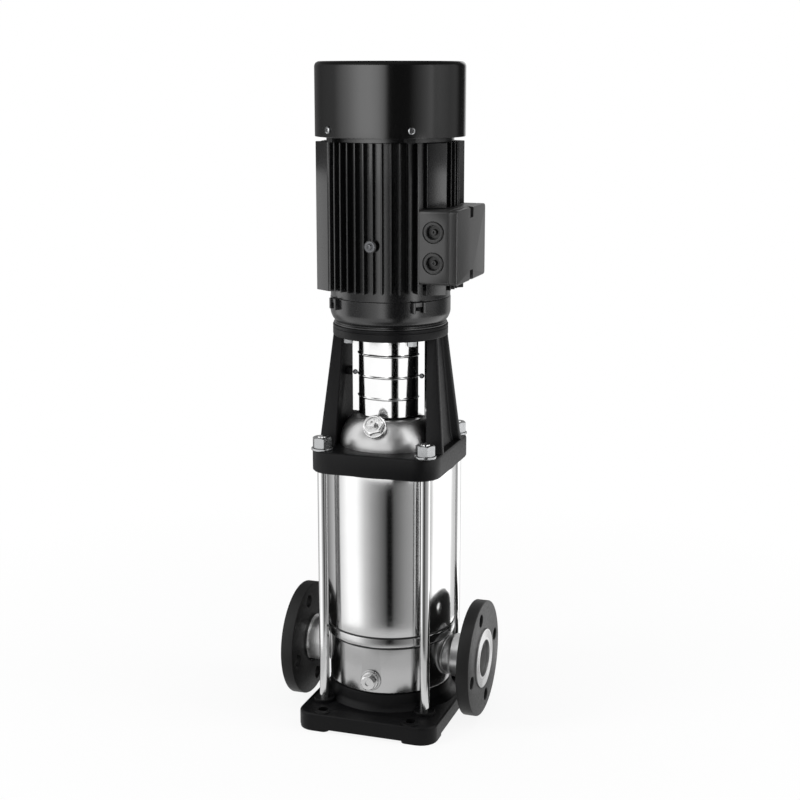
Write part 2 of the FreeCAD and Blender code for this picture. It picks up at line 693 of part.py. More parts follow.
def loose_flange(label, side):
    """Loose iron flange that turns on the nozzle behind the sealing ring."""
    item = new_body(label)
    seat = "(collar_thickness - collar_proud + fit_gap)"
    bore = f"({nozzle_radius} + fit_gap)"
    section = [
        ("0", "collar_diameter / 2 + fit_gap"),
        ("0", "flange_diameter / 2 - 1"),
        ("1", "flange_diameter / 2"),
        ("flange_thickness - 1", "flange_diameter / 2"),
        ("flange_thickness", "flange_diameter / 2 - 1"),
        ("flange_thickness", bore),
        (seat, bore),
        (seat, "collar_diameter / 2 + fit_gap"),
    ]
    spin(item, draw(item, f"{label}_section", "XZ_Plane", section), "H_Axis")
    circle = "flange_circle / 2"
    bearings = [f"({90 * k} - {side} * flange_turn)" for k in range(4)]
    places = [(f"{circle} * sin{bearing}", f"{circle} * cos{bearing}") for bearing in bearings]
    holes = draw(item, f"{label}_holes", "YZ_Plane",
                 circles=[(across, up, "flange_hole / 2") for across, up in places])
    pocket(item, holes, "flange_thickness + 1", forward=True)
    facing = "180" if side > 0 else "0"
    place(item, f"{side} * {flange_front}", "0", "port_height", turn=facing)
    return item


def flange_lock_rings():
    """Two sprung rings that hold the loose flanges against their sealing rings."""
    item = new_body("flange_lock_rings")
    start = f"({flange_back} - fit_gap - lock_ring_width)"
    low = f"{nozzle_radius} + running_gap"
    high = f"{nozzle_radius} + lock_ring_height"
    section = rectangle(start, low, f"{start} + lock_ring_width", high)
    sketch = draw(item, "lock_ring", "XZ_Plane", section, offset=("0", "port_height", "0"))
    feature = spin(item, sketch, "H_Axis")
    mirror(item, [feature], "YZ_Plane")
    return item


def drain_plug():
    """Screwed plug in the front of the lower chamber."""
    item = new_body("drain_plug")
    section = [
        ("0", "0"),
        ("-drain_shank", "0"),
        ("-drain_shank", "drain_thread / 2"),
        ("drain_washer", "drain_thread / 2"),
        ("drain_washer", "drain_collar / 2"),
        ("drain_washer + 2", "drain_collar / 2"),
        ("drain_washer + 2.5", "drain_collar / 2 - 1"),
        ("drain_washer + 2.5", "0"),
    ]
    spin(item, draw(item, "drain_plug_section", "XZ_Plane", section), "H_Axis")
    foot = ("0", "0", "drain_washer + 2")
    head = draw(item, "drain_hexagon", "YZ_Plane", hexagon("drain_flats"), offset=foot)
    pad(item, head, "drain_head")
    place(item, "0", "-(chamber_radius + drain_boss_proud)", f"{chamber_floor} + drain_rise", turn="-90")
    return item


def drain_plug_washer():
    """Flat washer that seals the drain plug."""
    item = new_body("drain_plug_washer")
    section = rectangle("0", "drain_thread / 2 + plug_gap", "drain_washer", "drain_collar / 2")
    spin(item, draw(item, "drain_washer_section", "XZ_Plane", section), "H_Axis")
    place(item, "0", "-(chamber_radius + drain_boss_proud)", f"{chamber_floor} + drain_rise", turn="-90")
    return item


def outer_sleeve():
    """Thin tube that closes the pump round its stages."""
    return ring("outer_sleeve", sleeve_bore, "sleeve_radius", sleeve_bottom, plate_bottom)


def sleeve_seals():
    """Rings that seal both ends of the sleeve."""
    item = new_body("sleeve_seals")
    outer = f"{sleeve_bore} - running_gap"
    inner = f"{sleeve_bore} - seal_section"
    low = f"({sleeve_bottom} + seal_section + running_gap)"
    high = f"({plate_bottom} - head_spigot - running_gap)"
    spin(item, draw(item, "low_seal", "XZ_Plane", rectangle(inner, low, outer, f"{low} + seal_section")))
    spin(item, draw(item, "high_seal", "XZ_Plane", rectangle(inner, f"{high} - seal_section", outer, high)))
    return item


def stage_chamber(number):
    """Cup of one stage, with the guide disc and vanes above its impeller."""
    item = new_body(f"stage_chamber_{number}")
    wall_inside = "(stage_radius - stage_wall)"
    cup = [
        (ring_outer, "0"),
        ("stage_radius", "0"),
        ("stage_radius", "stage_pitch"),
        (wall_inside, "stage_pitch"),
        (wall_inside, "stage_wall"),
        (ring_outer, "stage_wall"),
    ]
    spin(item, draw(item, "cup", "XZ_Plane", cup))
    disc = rectangle("hub_radius + 2 * fit_gap", "guide_height", "guide_radius", "guide_height + stage_wall")
    spin(item, draw(item, "guide_disc", "XZ_Plane", disc))
    vane = [
        ("guide_radius - guide_vane", "0"),
        (f"{wall_inside} + stage_wall / 2", "vane_sweep", "-vane_bend"),
        (f"{wall_inside} + stage_wall / 2", "vane_sweep + guide_vane"),
        ("guide_radius - guide_vane", "guide_vane", "vane_bend"),
    ]
    vane_foot = draw(item, "vane", "XY_Plane", vane, offset=("0", "0", "stage_wall / 2"))
    feature = pad(item, vane_foot, "guide_height + stage_wall / 2")
    polar(item, [feature], 8)
    place(item, z=f"{stack_bottom} + {number - 1} * stage_pitch")
    return item


def neck_rings():
    """Wear rings round the eyes of the impellers, one in the floor of each stage."""
    item = new_body("neck_rings")
    for number in range(STAGES):
        floor = f"({stack_bottom} + {number} * stage_pitch)"
        section = rectangle(eye_bore, floor, f"{ring_outer} - running_gap", f"{floor} + neck_ring_height")
        spin(item, draw(item, f"neck_ring_{number + 1}", "XZ_Plane", section))
    return item


def impeller(number):
    """Closed impeller with six curved blades, its eye facing down."""
    item = new_body(f"impeller_{number}")
    lower = "impeller_lift"
    blades = "(impeller_lift + shroud)"
    upper = "(impeller_lift + shroud + passage)"
    inner_eye = "(eye_radius - eye_wall)"
    skirt = [
        (inner_eye, "fit_gap"),
        ("eye_radius", "fit_gap"),
        ("eye_radius", lower),
        ("impeller_radius", lower),
        ("impeller_radius", blades),
        (inner_eye, blades),
    ]
    spin(item, draw(item, "skirt", "XZ_Plane", skirt))
    bore = f"({shaft_radius} + running_gap)"
    crown = [
        (bore, lower),
        ("hub_radius", lower),
        ("hub_radius", upper),
        ("impeller_radius", upper),
        ("impeller_radius", f"{upper} + shroud"),
        ("hub_radius", f"{upper} + shroud"),
        ("hub_radius", f"{upper} + shroud + passage"),
        (bore, f"{upper} + shroud + passage"),
    ]
    spin(item, draw(item, "crown", "XZ_Plane", crown))
    blade = [
        ("hub_radius - shroud / 2", "0"),
        ("impeller_radius - blade_inset", "blade_sweep", "-blade_bend"),
        ("impeller_radius - blade_inset - shroud / 2", "blade_sweep + shroud"),
        ("hub_radius - shroud", "shroud", "blade_bend"),
    ]
    feature = pad(item, draw(item, "blade", "XY_Plane", blade, offset=("0", "0", blades)), "passage")
    polar(item, [feature], 6)
    place(item, z=f"{stack_bottom} + {number - 1} * stage_pitch")
    return item


def discharge_cage():
    """Ring with windows between the last stage and the head, which holds the stack down."""
    item = new_body("discharge_cage")
    top = f"({plate_bottom} - head_ledge)"
    section = rectangle("stage_radius - cage_wall", stack_top, "stage_radius", top)
    spin(item, draw(item, "cage_section", "XZ_Plane", section))
    window = rectangle("0", "-cage_window / 2", "stage_radius + 5", "cage_window / 2")
    opening = draw(item, "cage_opening", "XY_Plane", window, offset=("0", "0", f"{stack_top} + 4"))
    feature = pocket(item, opening, f"{top} - {stack_top} - 8", forward=True)
    polar(item, [feature], 6)
    return item


def pump_head():
    """Bell-shaped stainless head with the seal housing and the vent boss."""
    item = new_body("pump_head")
    ledge = f"({plate_bottom} - head_ledge)"
    wall_top = f"({plate_bottom} + dome_straight)"
    shoulder = f"({head_top} - dome_drop)"
    inner_wall = "(dome_radius - head_wall)"
    inner_top = "(dome_top - head_wall)"
    bell = [
        ("seal_seat_radius", head_top),
        ("seal_housing", head_top),
        ("seal_housing", f"{shoulder} + 2"),
        ("dome_top", shoulder),
        ("dome_radius", wall_top, "-dome_round"),
        ("dome_radius", plate_bottom),
        (spigot_radius, plate_bottom),
        (spigot_radius, f"{plate_bottom} - head_spigot"),
        ("stage_radius + head_wall", f"{plate_bottom} - head_spigot"),
        ("stage_radius + head_wall", ledge),
        (inner_wall, ledge),
        (inner_wall, wall_top),
        (inner_top, f"{shoulder} - head_wall", "dome_round"),
        ("seal_seat_radius", f"{shoulder} - head_wall + 2"),
    ]
    spin(item, draw(item, "bell", "XZ_Plane", bell))
    vent = ("-vent_reach", f"{plate_bottom} + vent_height", "0")
    boss = rectangle("-vent_boss_length", "0", "head_wall", "vent_boss / 2")
    hole = rectangle("-vent_boss_length - 1", "0", "head_wall + 8", "vent_thread / 2 + plug_gap")
    spin(item, draw(item, "vent_boss", "YZ_Plane", boss, offset=vent, turn="-vent_lean"), "H_Axis")
    spin(item, draw(item, "vent_hole", "YZ_Plane", hole, offset=vent, turn="-vent_lean"), "H_Axis", cut=True)
    return item


def place_on_vent(item):
    """Put a piece that was turned about its own X axis on the vent boss."""
    outward = "(vent_reach + vent_boss_length * cos(vent_lean))"
    upward = f"({plate_bottom} + vent_height + vent_boss_length * sin(vent_lean))"
    lean = FreeCAD.Rotation(FreeCAD.Vector(1, 0, 0), -worth("vent_lean"))
    about = FreeCAD.Rotation(FreeCAD.Vector(0, 0, 1), -90)
    spot = FreeCAD.Vector(0, -worth(outward), worth(upward))
    item.Placement = FreeCAD.Placement(spot, lean.multiply(about))
    bind(item, ".Placement.Base.y", f"-{outward}")
    bind(item, ".Placement.Base.z", upward)


def vent_plug():
    """Hexagonal vent and priming plug on the front of the head."""
    item = new_body("vent_plug")
    section = [
        ("0", "0"),
        ("-vent_shank", "0"),
        ("-vent_shank", "vent_thread / 2"),
        ("0", "vent_thread / 2"),
        ("0", "vent_collar / 2"),
        ("vent_collar_length - 1", "vent_collar / 2"),
        ("vent_collar_length", "vent_collar / 2 - 1.5"),
        ("vent_collar_length", "0"),
    ]
    spin(item, draw(item, "vent_section", "XZ_Plane", section), "H_Axis")
    foot = ("0", "0", "vent_collar_length - 1")
    head = draw(item, "vent_hexagon", "YZ_Plane", hexagon("vent_flats"), offset=foot)
    pad(item, head, "vent_head + 1")
    top = "vent_collar_length + vent_head + 1"
    hole = rectangle("-vent_shank - 1", "0", top, "vent_spindle / 2 + running_gap")
    spin(item, draw(item, "vent_bore", "XZ_Plane", hole), "H_Axis", cut=True)
    place_on_vent(item)
    return item


def vent_spindle():
    """Small bleed screw in the middle of the vent plug."""
    item = new_body("vent_spindle")
    top = "(vent_collar_length + vent_head + fit_gap)"
    section = [
        ("-vent_spindle", "0"),
        (f"{top} + 1", "0"),
        (f"{top} + 1", "vent_spindle_flats / 2"),
        (top, "vent_spindle_flats / 2"),
        (top, "vent_spindle / 2"),
        ("-vent_spindle * 3 / 4", "vent_spindle / 2"),
        ("-vent_spindle", "vent_spindle / 4"),
    ]
    spin(item, draw(item, "spindle_section", "XZ_Plane", section), "H_Axis")
    foot = ("0", "0", f"{top} + 0.5")
    head = draw(item, "spindle_hexagon", "YZ_Plane", hexagon("vent_spindle_flats"), offset=foot)
    pad(item, head, "vent_spindle_head")
    place_on_vent(item)
    return item


def channel(inner, outer, half, depth):
    """Section of a leg: a web toward the shaft and a rib along each edge."""
    web = f"{outer} - {depth}"
    return [
        (inner, f"-{half}"),
        (outer, f"-{half}"),
        (outer, f"leg_rib - {half}"),
        (web, f"leg_rib * 3 / 2 - {half}"),
        (web, f"{half} - leg_rib * 3 / 2"),
        (outer, f"{half} - leg_rib"),
        (outer, half),
        (inner, half),
    ]


def motor_stool():
    """Iron stool: square plate, two broad legs and the ring under the motor."""
    item = new_body("motor_stool")
    outline = rounded_rectangle("plate_half", "plate_half", "plate_corner")
    pad(item, draw(item, "plate", "XY_Plane", outline, offset=("0", "0", plate_bottom)), "plate_thickness")
    edges = level_edges(item, plate_top) + level_edges(item, plate_bottom)
    round_edges(item, edges, "plate_round")
    foot = channel("leg_inner_foot", "leg_outer_foot", "leg_half_foot", "leg_hollow_foot")
    edge_top = "sqrt(ring_radius ^ 2 - leg_half_top ^ 2)"
    top = channel("leg_inner_top", edge_top, "leg_half_top", "leg_hollow_top")
    low = draw(item, "leg_foot", "XY_Plane", foot, offset=("0", "0", f"{plate_top} - 1"))
    high = draw(item, "leg_top", "XY_Plane", top, offset=("0", "0", f"{ring_bottom} + 1"))
    leg = item.newObject("PartDesign::AdditiveLoft", "leg")
    leg.Profile = low
    leg.Sections = [high]
    leg.Ruled = True
    mirror(item, [leg], "YZ_Plane")
    section = [
        ("ring_bore", ring_bottom),
        ("ring_radius", ring_bottom),
        ("ring_radius", f"{motor_seat} - 3"),
        ("ring_radius - 1.5", motor_seat),
        ("ring_bore", motor_seat),
    ]
    spin(item, draw(item, "ring", "XZ_Plane", section))
    lug_half = "(guard_offset - guard_sheet)"
    lug = rectangle("guard_screw_reach - guard_lug / 2", f"-{lug_half}", "leg_inner_foot + 3", lug_half)
    lug_foot = draw(item, "lug", "XY_Plane", lug, offset=("0", "0", f"{guard_middle} - guard_lug / 2"))
    polar(item, [pad(item, lug_foot, "guard_lug")], 2)
    shoulder = f"({head_top} - dome_drop + fit_gap)"
    bore = [
        ("0", plate_bottom),
        ("dome_radius + fit_gap", plate_bottom),
        ("dome_radius + fit_gap", f"{plate_bottom} + dome_straight"),
        ("dome_top + fit_gap", shoulder, "dome_round"),
        ("0", shoulder),
    ]
    spin(item, draw(item, "head_bore", "XZ_Plane", bore), cut=True)
    rods = [(across, up, f"{rod_radius} + fit_gap") for across, up in four_ways(rod_place, rod_place)]
    pocket(item, draw(item, "rod_holes", "XY_Plane", circles=rods, offset=("0", "0", plate_bottom)),
           "plate_thickness + 2", forward=True)
    bolt_place = "motor_bolt_circle / 2 * cos(45)"
    bolts = [(across, up, "motor_bolt / 2 + fit_gap") for across, up in four_ways(bolt_place, bolt_place)]
    pocket(item, draw(item, "bolt_holes", "XY_Plane", circles=bolts, offset=("0", "0", f"{ring_bottom} - 1")),
           "ring_thickness + 2", forward=True)
    screw_holes = [(side, guard_middle, "guard_screw / 2 + plug_gap")
                   for side in ("guard_screw_reach", "-guard_screw_reach")]
    through = draw(item, "guard_holes", "XZ_Plane", circles=screw_holes, offset=("0", "0", "guard_offset"))
    pocket(item, through, "2 * guard_offset")
    return item


def tie_rods():
    """Four rods that clamp the sleeve between the base and the stool."""
    item = new_body("tie_rods")
    low = "(rod_boss_top - rod_depth + fit_gap)"
    high = f"({plate_top} + washer_thickness + nut_height + 1)"
    circles = [(across, up, rod_radius) for across, up in four_ways(rod_place, rod_place)]
    pad(item, draw(item, "rods", "XY_Plane", circles=circles, offset=("0", "0", low)), f"{high} - {low}")
    return item


def tie_rod_nuts():
    """Hexagonal nuts on the tie rods."""
    item = new_body("tie_rod_nuts")
    corners = [(f"{across} + {rod_place}", f"{up} + {rod_place}") for across, up in hexagon("nut_flats")]
    hole = [(rod_place, rod_place, f"{rod_radius} + plug_gap")]
    foot = ("0", "0", f"{plate_top} + washer_thickness")
    outline = draw(item, "nut", "XY_Plane", corners, hole, offset=foot)
    polar(item, [pad(item, outline, "nut_height")], 4)
    return item


def tie_rod_washers():
    """Washers under the tie rod nuts."""
    item = new_body("tie_rod_washers")
    radii = ("washer_diameter / 2", f"{rod_radius} + fit_gap")
    circles = [(rod_place, rod_place, radius) for radius in radii]
    outline = draw(item, "washer", "XY_Plane", circles=circles, offset=("0", "0", plate_top))
    polar(item, [pad(item, outline, "washer_thickness")], 4)
    return item


def coupling_guard(label, turn):
    """Bulged sheet guard with three beads and a flat flange on each side."""
    item = new_body(label)
    inner = "(guard_radius - guard_sheet)"
    front = "(-guard_offset)"
    back = "(guard_sheet - guard_offset)"
    outer_x = "sqrt(guard_radius ^ 2 - guard_offset ^ 2)"
    inner_x = "sqrt((guard_radius - guard_sheet) ^ 2 - (guard_offset - guard_sheet) ^ 2)"
    sheet_line = [
        ("guard_reach", front),
        ("guard_reach", back),
        (inner_x, back),
        (f"-{inner_x}", back, f"-{inner}"),
        ("-guard_reach", back),
        ("-guard_reach", front),
        (f"-{outer_x}", front),
        (outer_x, front, "guard_radius"),
    ]
    outline = draw(item, f"{label}_line", "XY_Plane", sheet_line, offset=("0", "0", guard_bottom))
    pad(item, outline, f"{guard_top} - {guard_bottom}")
    for number, steps in enumerate((-1, 0, 1), start=1):
        height = f"({guard_middle} + {steps} * guard_bead_pitch)"
        bead = [
            (inner, f"{height} - guard_bead_width / 2"),
            ("guard_radius - guard_sheet / 2", f"{height} - guard_bead_width / 2"),
            ("guard_radius + guard_bead", height),
            ("guard_radius - guard_sheet / 2", f"{height} + guard_bead_width / 2"),
            (inner, f"{height} + guard_bead_width / 2"),
        ]
        spin(item, draw(item, f"{label}_bead_{number}", "XZ_Plane", bead))
    cut = rectangle("-2 * guard_reach", back, "2 * guard_reach", "guard_radius * 2")
    trim = draw(item, f"{label}_trim", "XY_Plane", cut, offset=("0", "0", f"{guard_bottom} - 1"))
    pocket(item, trim, f"{guard_top} - {guard_bottom} + 2", forward=True)
    holes = [(side, guard_middle, "guard_screw / 2 + fit_gap")
             for side in ("guard_screw_reach", "-guard_screw_reach")]
    hole_start = ("0", "0", "guard_offset - 2 * guard_sheet")
    screws = draw(item, f"{label}_holes", "XZ_Plane", circles=holes, offset=hole_start)
    pocket(item, screws, "3 * guard_sheet", forward=True)
    place(item, turn=turn)
    return item


def guard_screws():
    """Pan head screws that hold both guards on the stool's lugs."""
    item = new_body("guard_screws")
    for side in (1, -1):
        place_x = f"{side} * guard_screw_reach"
        head = [(place_x, guard_middle, "guard_screw_head / 2")]
        shank = [(place_x, guard_middle, "guard_screw / 2")]
        foot = ("0", "0", "guard_offset")
        top = draw(item, f"head_{side + 1}", "XZ_Plane", circles=head, offset=foot)
        stem = draw(item, f"shank_{side + 1}", "XZ_Plane", circles=shank, offset=foot)
        first = pad(item, top, "guard_screw_head / 3")
        second = pad(item, stem, "guard_screw_length", back=True)
        polar(item, [first, second], 2)
    return item


def seal_seat():
    """Stationary ring of the shaft seal, in the top of the head."""
    top = f"({head_top} - 1)"
    outer = "seal_seat_radius - running_gap"
    return ring("seal_seat", f"{shaft_radius} + 1", outer, f"{top} - seal_seat_height", top)


def seal_head():
    """Sprung rotating part of the shaft seal, on the shaft below the seat."""
    top = f"({head_top} - 1 - seal_seat_height - fit_gap)"
    corners = [
        (f"{shaft_radius} + running_gap", f"{top} - 26"),
        ("seal_seat_radius - 4", f"{top} - 26"),
        ("seal_seat_radius - 4", f"{top} - 8"),
        ("seal_seat_radius - 6", f"{top} - 8"),
        ("seal_seat_radius - 6", top),
        (f"{shaft_radius} + running_gap", top),
    ]
    return turned("seal_head", corners)


def pump_shaft():
    """Splined pump shaft, from the lowest impeller to the coupling."""
    middle = f"({coupling_bottom} + coupling_length / 2 - 2)"
    corners = [
        ("0", f"{stack_bottom} - 24"),
        (f"{shaft_radius} - 1.5", f"{stack_bottom} - 24"),
        (shaft_radius, f"{stack_bottom} - 22"),
        (shaft_radius, middle),
        ("0", middle),
    ]
    return turned("pump_shaft", corners)


def coupling_screw_places(foot):
    """Where the four coupling screws sit, seen from the front."""
    across = "((coupling_radius + motor_shaft / 2) / 2)"
    heights = (f"{foot} + coupling_screw_inset", f"{foot} + coupling_length - coupling_screw_inset")
    return [(f"{way} * {across}", height) for way in (1, -1) for height in heights]


def coupling_half(label, side):
    """Half of the split coupling, bored for both shafts and drilled for its screws."""
    item = new_body(label)
    middle = "coupling_length / 2"
    section = [
        (f"{shaft_radius} + running_gap", "0"),
        ("coupling_radius - 2", "0"),
        ("coupling_radius", "2"),
        ("coupling_radius", "coupling_length - 2"),
        ("coupling_radius - 2", "coupling_length"),
        ("motor_shaft / 2 + running_gap", "coupling_length"),
        ("motor_shaft / 2 + running_gap", middle),
        (f"{shaft_radius} + running_gap", middle),
    ]
    spin(item, draw(item, f"{label}_section", "XZ_Plane", section))
    slab = rectangle("-2 * coupling_radius", f"{side} * coupling_slit / 2", "2 * coupling_radius",
                     f"{-side} * 3 * coupling_radius")
    cutter = draw(item, f"{label}_other_half", "XY_Plane", slab, offset=("0", "0", "-1"))
    pocket(item, cutter, "coupling_length + 2", forward=True)
    places = coupling_screw_places("0")
    holes = draw(item, f"{label}_holes", "XZ_Plane",
                 circles=[(x, z, "coupling_screw / 2 + plug_gap") for x, z in places],
                 offset=("0", "0", "2 * coupling_radius"))
    pocket(item, holes, "4 * coupling_radius")
    if side < 0:
        seats = draw(item, f"{label}_seats", "XZ_Plane",
                     circles=[(x, z, "coupling_screw_head / 2 + fit_gap") for x, z in places],
                     offset=("0", "0", "coupling_radius - coupling_screw_seat"))
        pocket(item, seats, "coupling_radius", forward=True)
    place(item, z=coupling_bottom)
    return item


def coupling_screws():
    """Four socket screws that clamp the coupling halves together."""
    item = new_body("coupling_screws")
    places = coupling_screw_places(coupling_bottom)
    seat = "(coupling_radius - coupling_screw_seat)"
    heads = draw(item, "screw_heads", "XZ_Plane",
                 circles=[(x, z, "coupling_screw_head / 2") for x, z in places], offset=("0", "0", seat))
    shanks = draw(item, "screw_shanks", "XZ_Plane",
                  circles=[(x, z, "coupling_screw / 2") for x, z in places], offset=("0", "0", seat))
    pad(item, heads, "coupling_screw")
    pad(item, shanks, f"2 * {seat}", back=True)
    return item


def drive_end_shield():
    """Lower end shield: spigot in the stool, waist, bearing housing and four ears."""
    item = new_body("drive_end_shield")
    housing = "(bearing_radius + shield_wall)"
    bearing_top = f"({low_bearing} + bearing_width)"
    section = [
        ("journal / 2 + 2", f"{motor_seat} - motor_spigot_depth"),
        ("motor_spigot", f"{motor_seat} - motor_spigot_depth"),
        ("motor_spigot", motor_seat),
        ("ring_radius - 2", motor_seat),
        ("ring_radius - 1", f"{motor_seat} + 3"),
        ("shield_neck", f"{motor_seat} + 5"),
        ("shield_radius", f"{motor_seat} + 18", "18"),
        ("shield_radius", frame_bottom),
        ("frame_bore - fit_gap", frame_bottom),
        ("frame_bore - fit_gap", f"{frame_bottom} + shield_wall"),
        ("frame_bore - shield_wall", f"{frame_bottom} + shield_wall"),
        ("frame_bore - shield_wall", f"{motor_seat} + shield_wall"),
        (housing, f"{motor_seat} + shield_wall"),
        (housing, bearing_top),
        ("bearing_radius + running_gap", bearing_top),
        ("bearing_radius + running_gap", low_bearing),
        ("journal / 2 + 2", low_bearing),
    ]
    spin(item, draw(item, "shield_section", "XZ_Plane", section))
    half_ear = "shield_ear_width / 2"
    ear = rectangle("frame_bore + 2", f"-{half_ear}", "shield_ear_radius", half_ear)
    ear_foot = ("0", "0", f"{frame_bottom} - shield_ear_height")
    foot = draw(item, "ear", "XY_Plane", ear, offset=ear_foot, turn="45")
    polar(item, [pad(item, foot, "shield_ear_height")], 4)
    across = "motor_bolt_circle / 2 * cos(45)"
    holes = [(x, y, "motor_bolt / 2 + plug_gap") for x, y in four_ways(across, across)]
    pocket(item, draw(item, "bolt_holes", "XY_Plane", circles=holes, offset=("0", "0", f"{motor_seat} - 1")),
           "shield_wall + 4", forward=True)
    return item


def shield_bolts():
    """Four bolts that hold the motor on the stool's ring."""
    item = new_body("shield_bolts")
    place_out = "motor_bolt_circle / 2 * cos(45)"
    head = draw(item, "bolt_head", "XY_Plane", circles=[(place_out, place_out, "motor_bolt_head / 2")],
                offset=("0", "0", ring_bottom))
    shank = draw(item, "bolt_shank", "XY_Plane", circles=[(place_out, place_out, "motor_bolt / 2")],
                 offset=("0", "0", ring_bottom))
    first = pad(item, head, "motor_bolt", back=True)
    second = pad(item, shank, "ring_thickness + shield_wall")
    polar(item, [first, second], 4)
    return item


def motor_frame():
    """Cast motor frame: finned front, back and sides, and four flat rails between them."""
    item = new_body("motor_frame")
    barrel = rectangle("frame_bore", frame_bottom, "frame_radius", frame_top)
    spin(item, draw(item, "barrel", "XZ_Plane", barrel))
    fin = rectangle("frame_radius - 2", "-fin_thickness / 2", "fin_tip", "fin_thickness / 2")
    fin_foot = ("0", "0", f"{frame_bottom} + fin_start")
    fin_length = "(frame_length - fin_start - fin_end)"
    for name, centre, count in (("front", 270, 12), ("back", 90, 12), ("right", 0, 6), ("left", 180, 6)):
        start = f"{centre} - {(count - 1) / 2} * fin_step"
        first = pad(item, draw(item, f"{name}_fin", "XY_Plane", fin, offset=fin_foot, turn=start), fin_length)
        polar(item, [first], count, worth(f"{count - 1} * fin_step"))
    rail = [
        ("pad_near_x - pad_depth", "pad_near_y - pad_depth / 2"),
        ("pad_near_x", "pad_near_y"),
        ("pad_far_x", "pad_far_y"),
        ("pad_far_x - pad_depth", "pad_far_y - pad_depth"),
    ]
    rail_foot = ("0", "0", f"{frame_bottom} + pad_start")
    for name, across, up in (("a", 1, 1), ("b", -1, 1), ("c", -1, -1), ("d", 1, -1)):
        corners = [(f"{across} * ({x})", f"{up} * ({y})") for x, y in rail]
        outline = draw(item, f"rail_{name}", "XY_Plane", corners, offset=rail_foot)
        pad(item, outline, "frame_length - pad_start - fin_end")
    core = "(frame_radius + fit_gap)"
    edge_y = f"sqrt({core} ^ 2 - (box_inner - fit_gap) ^ 2)"
    box_space = [
        ("box_inner - fit_gap", "-box_half - fit_gap"),
        ("fin_tip + 10", "-box_half - fit_gap"),
        ("fin_tip + 10", "box_half + fit_gap"),
        ("box_inner - fit_gap", "box_half + fit_gap"),
        ("box_inner - fit_gap", edge_y),
        ("box_inner - fit_gap", f"-{edge_y}", f"-{core}"),
    ]
    space = draw(item, "box_space", "XY_Plane", box_space, offset=("0", "0", f"{box_bottom} - fit_gap"))
    pocket(item, space, "box_height + 2 * fit_gap", forward=True)
    lift = f"({frame_bottom} + earth_rise)"
    boss = draw(item, "earth_pad", "XZ_Plane", circles=[("earth_side", lift, "earth_boss / 2")],
                offset=("0", "0", "frame_radius - 3"))
    pad(item, boss, "fin_tip - frame_radius + 3")
    hole = draw(item, "earth_hole", "XZ_Plane", circles=[("earth_side", lift, "earth_screw / 2 + plug_gap")],
                offset=("0", "0", "frame_radius"))
    pocket(item, hole, "fin_tip", forward=True)
    return item


def earth_screw():
    """Earthing screw with its washer on the front of the frame."""
    item = new_body("earth_screw")
    end = "-(fin_tip - frame_radius - fit_gap)"
    top = "(earth_washer_thickness + earth_head_height)"
    section = [
        (end, "0"),
        (top, "0"),
        (top, "earth_head / 2 - fit_gap"),
        ("earth_washer_thickness", "earth_head / 2"),
        ("earth_washer_thickness", "earth_washer / 2"),
        ("0", "earth_washer / 2"),
        ("0", "earth_screw / 2"),
        (end, "earth_screw / 2"),
    ]
    spin(item, draw(item, "earth_section", "XZ_Plane", section), "H_Axis")
    place(item, "earth_side", "-fin_tip", f"{frame_bottom} + earth_rise", turn="-90")
    return item


def stator_core():
    """Laminated stator pressed in the frame."""
    inner = "rotor_radius + air_gap"
    outer = "frame_bore - running_gap"
    return ring("stator_core", inner, outer, stator_bottom, stator_top)


def stator_winding():
    """Ends of the winding above and below the stator core."""
    item = new_body("stator_winding")
    inner = "rotor_radius + 4"
    outer = "frame_bore - 6"
    for name, low, high in (("low", f"{stator_bottom} - winding_height", stator_bottom),
                            ("high", stator_top, f"{stator_top} + winding_height")):
        spin(item, draw(item, f"{name}_end", "XZ_Plane", rectangle(inner, low, outer, high)))
    return item


def fan_end_shield():
    """Upper end shield: spigot in the frame, bearing housing and the cover's four lugs."""
    item = new_body("fan_end_shield")
    housing = "(bearing_radius + shield_wall)"
    shelf = f"({frame_top} + shield_wall)"
    bearing_high = f"({high_bearing} + bearing_width)"
    section = [
        ("journal / 2 + 2", bearing_high),
        ("journal / 2 + 2", f"{bearing_high} + 3"),
        (housing, f"{bearing_high} + 3"),
        (housing, shelf),
        ("frame_radius + 4", shelf),
        ("frame_radius + 4", frame_top),
        ("frame_bore - fit_gap", frame_top),
        ("frame_bore - fit_gap", f"{frame_top} - shield_wall"),
        ("frame_bore - shield_wall", f"{frame_top} - shield_wall"),
        ("frame_bore - shield_wall", frame_top),
        (housing, frame_top),
        (housing, high_bearing),
        ("bearing_radius + running_gap", high_bearing),
        ("bearing_radius + running_gap", bearing_high),
    ]
    spin(item, draw(item, "fan_shield_section", "XZ_Plane", section))
    half_lug = "cover_lug / 2"
    lug_end = "cover_radius - cover_sheet - fit_gap"
    lug = rectangle("frame_radius - cover_lug / 2", f"-{half_lug}", lug_end, half_lug)
    for name, angle in (("a", "270 + cover_screw_turn"), ("b", "270 - cover_screw_turn")):
        foot = draw(item, f"cover_lug_{name}", "XY_Plane", lug, offset=("0", "0", frame_top), turn=angle)
        polar(item, [pad(item, foot, "cover_gap + cover_screw_rise + cover_lug / 2")], 2)
    cover_screw_holes(item)
    return item


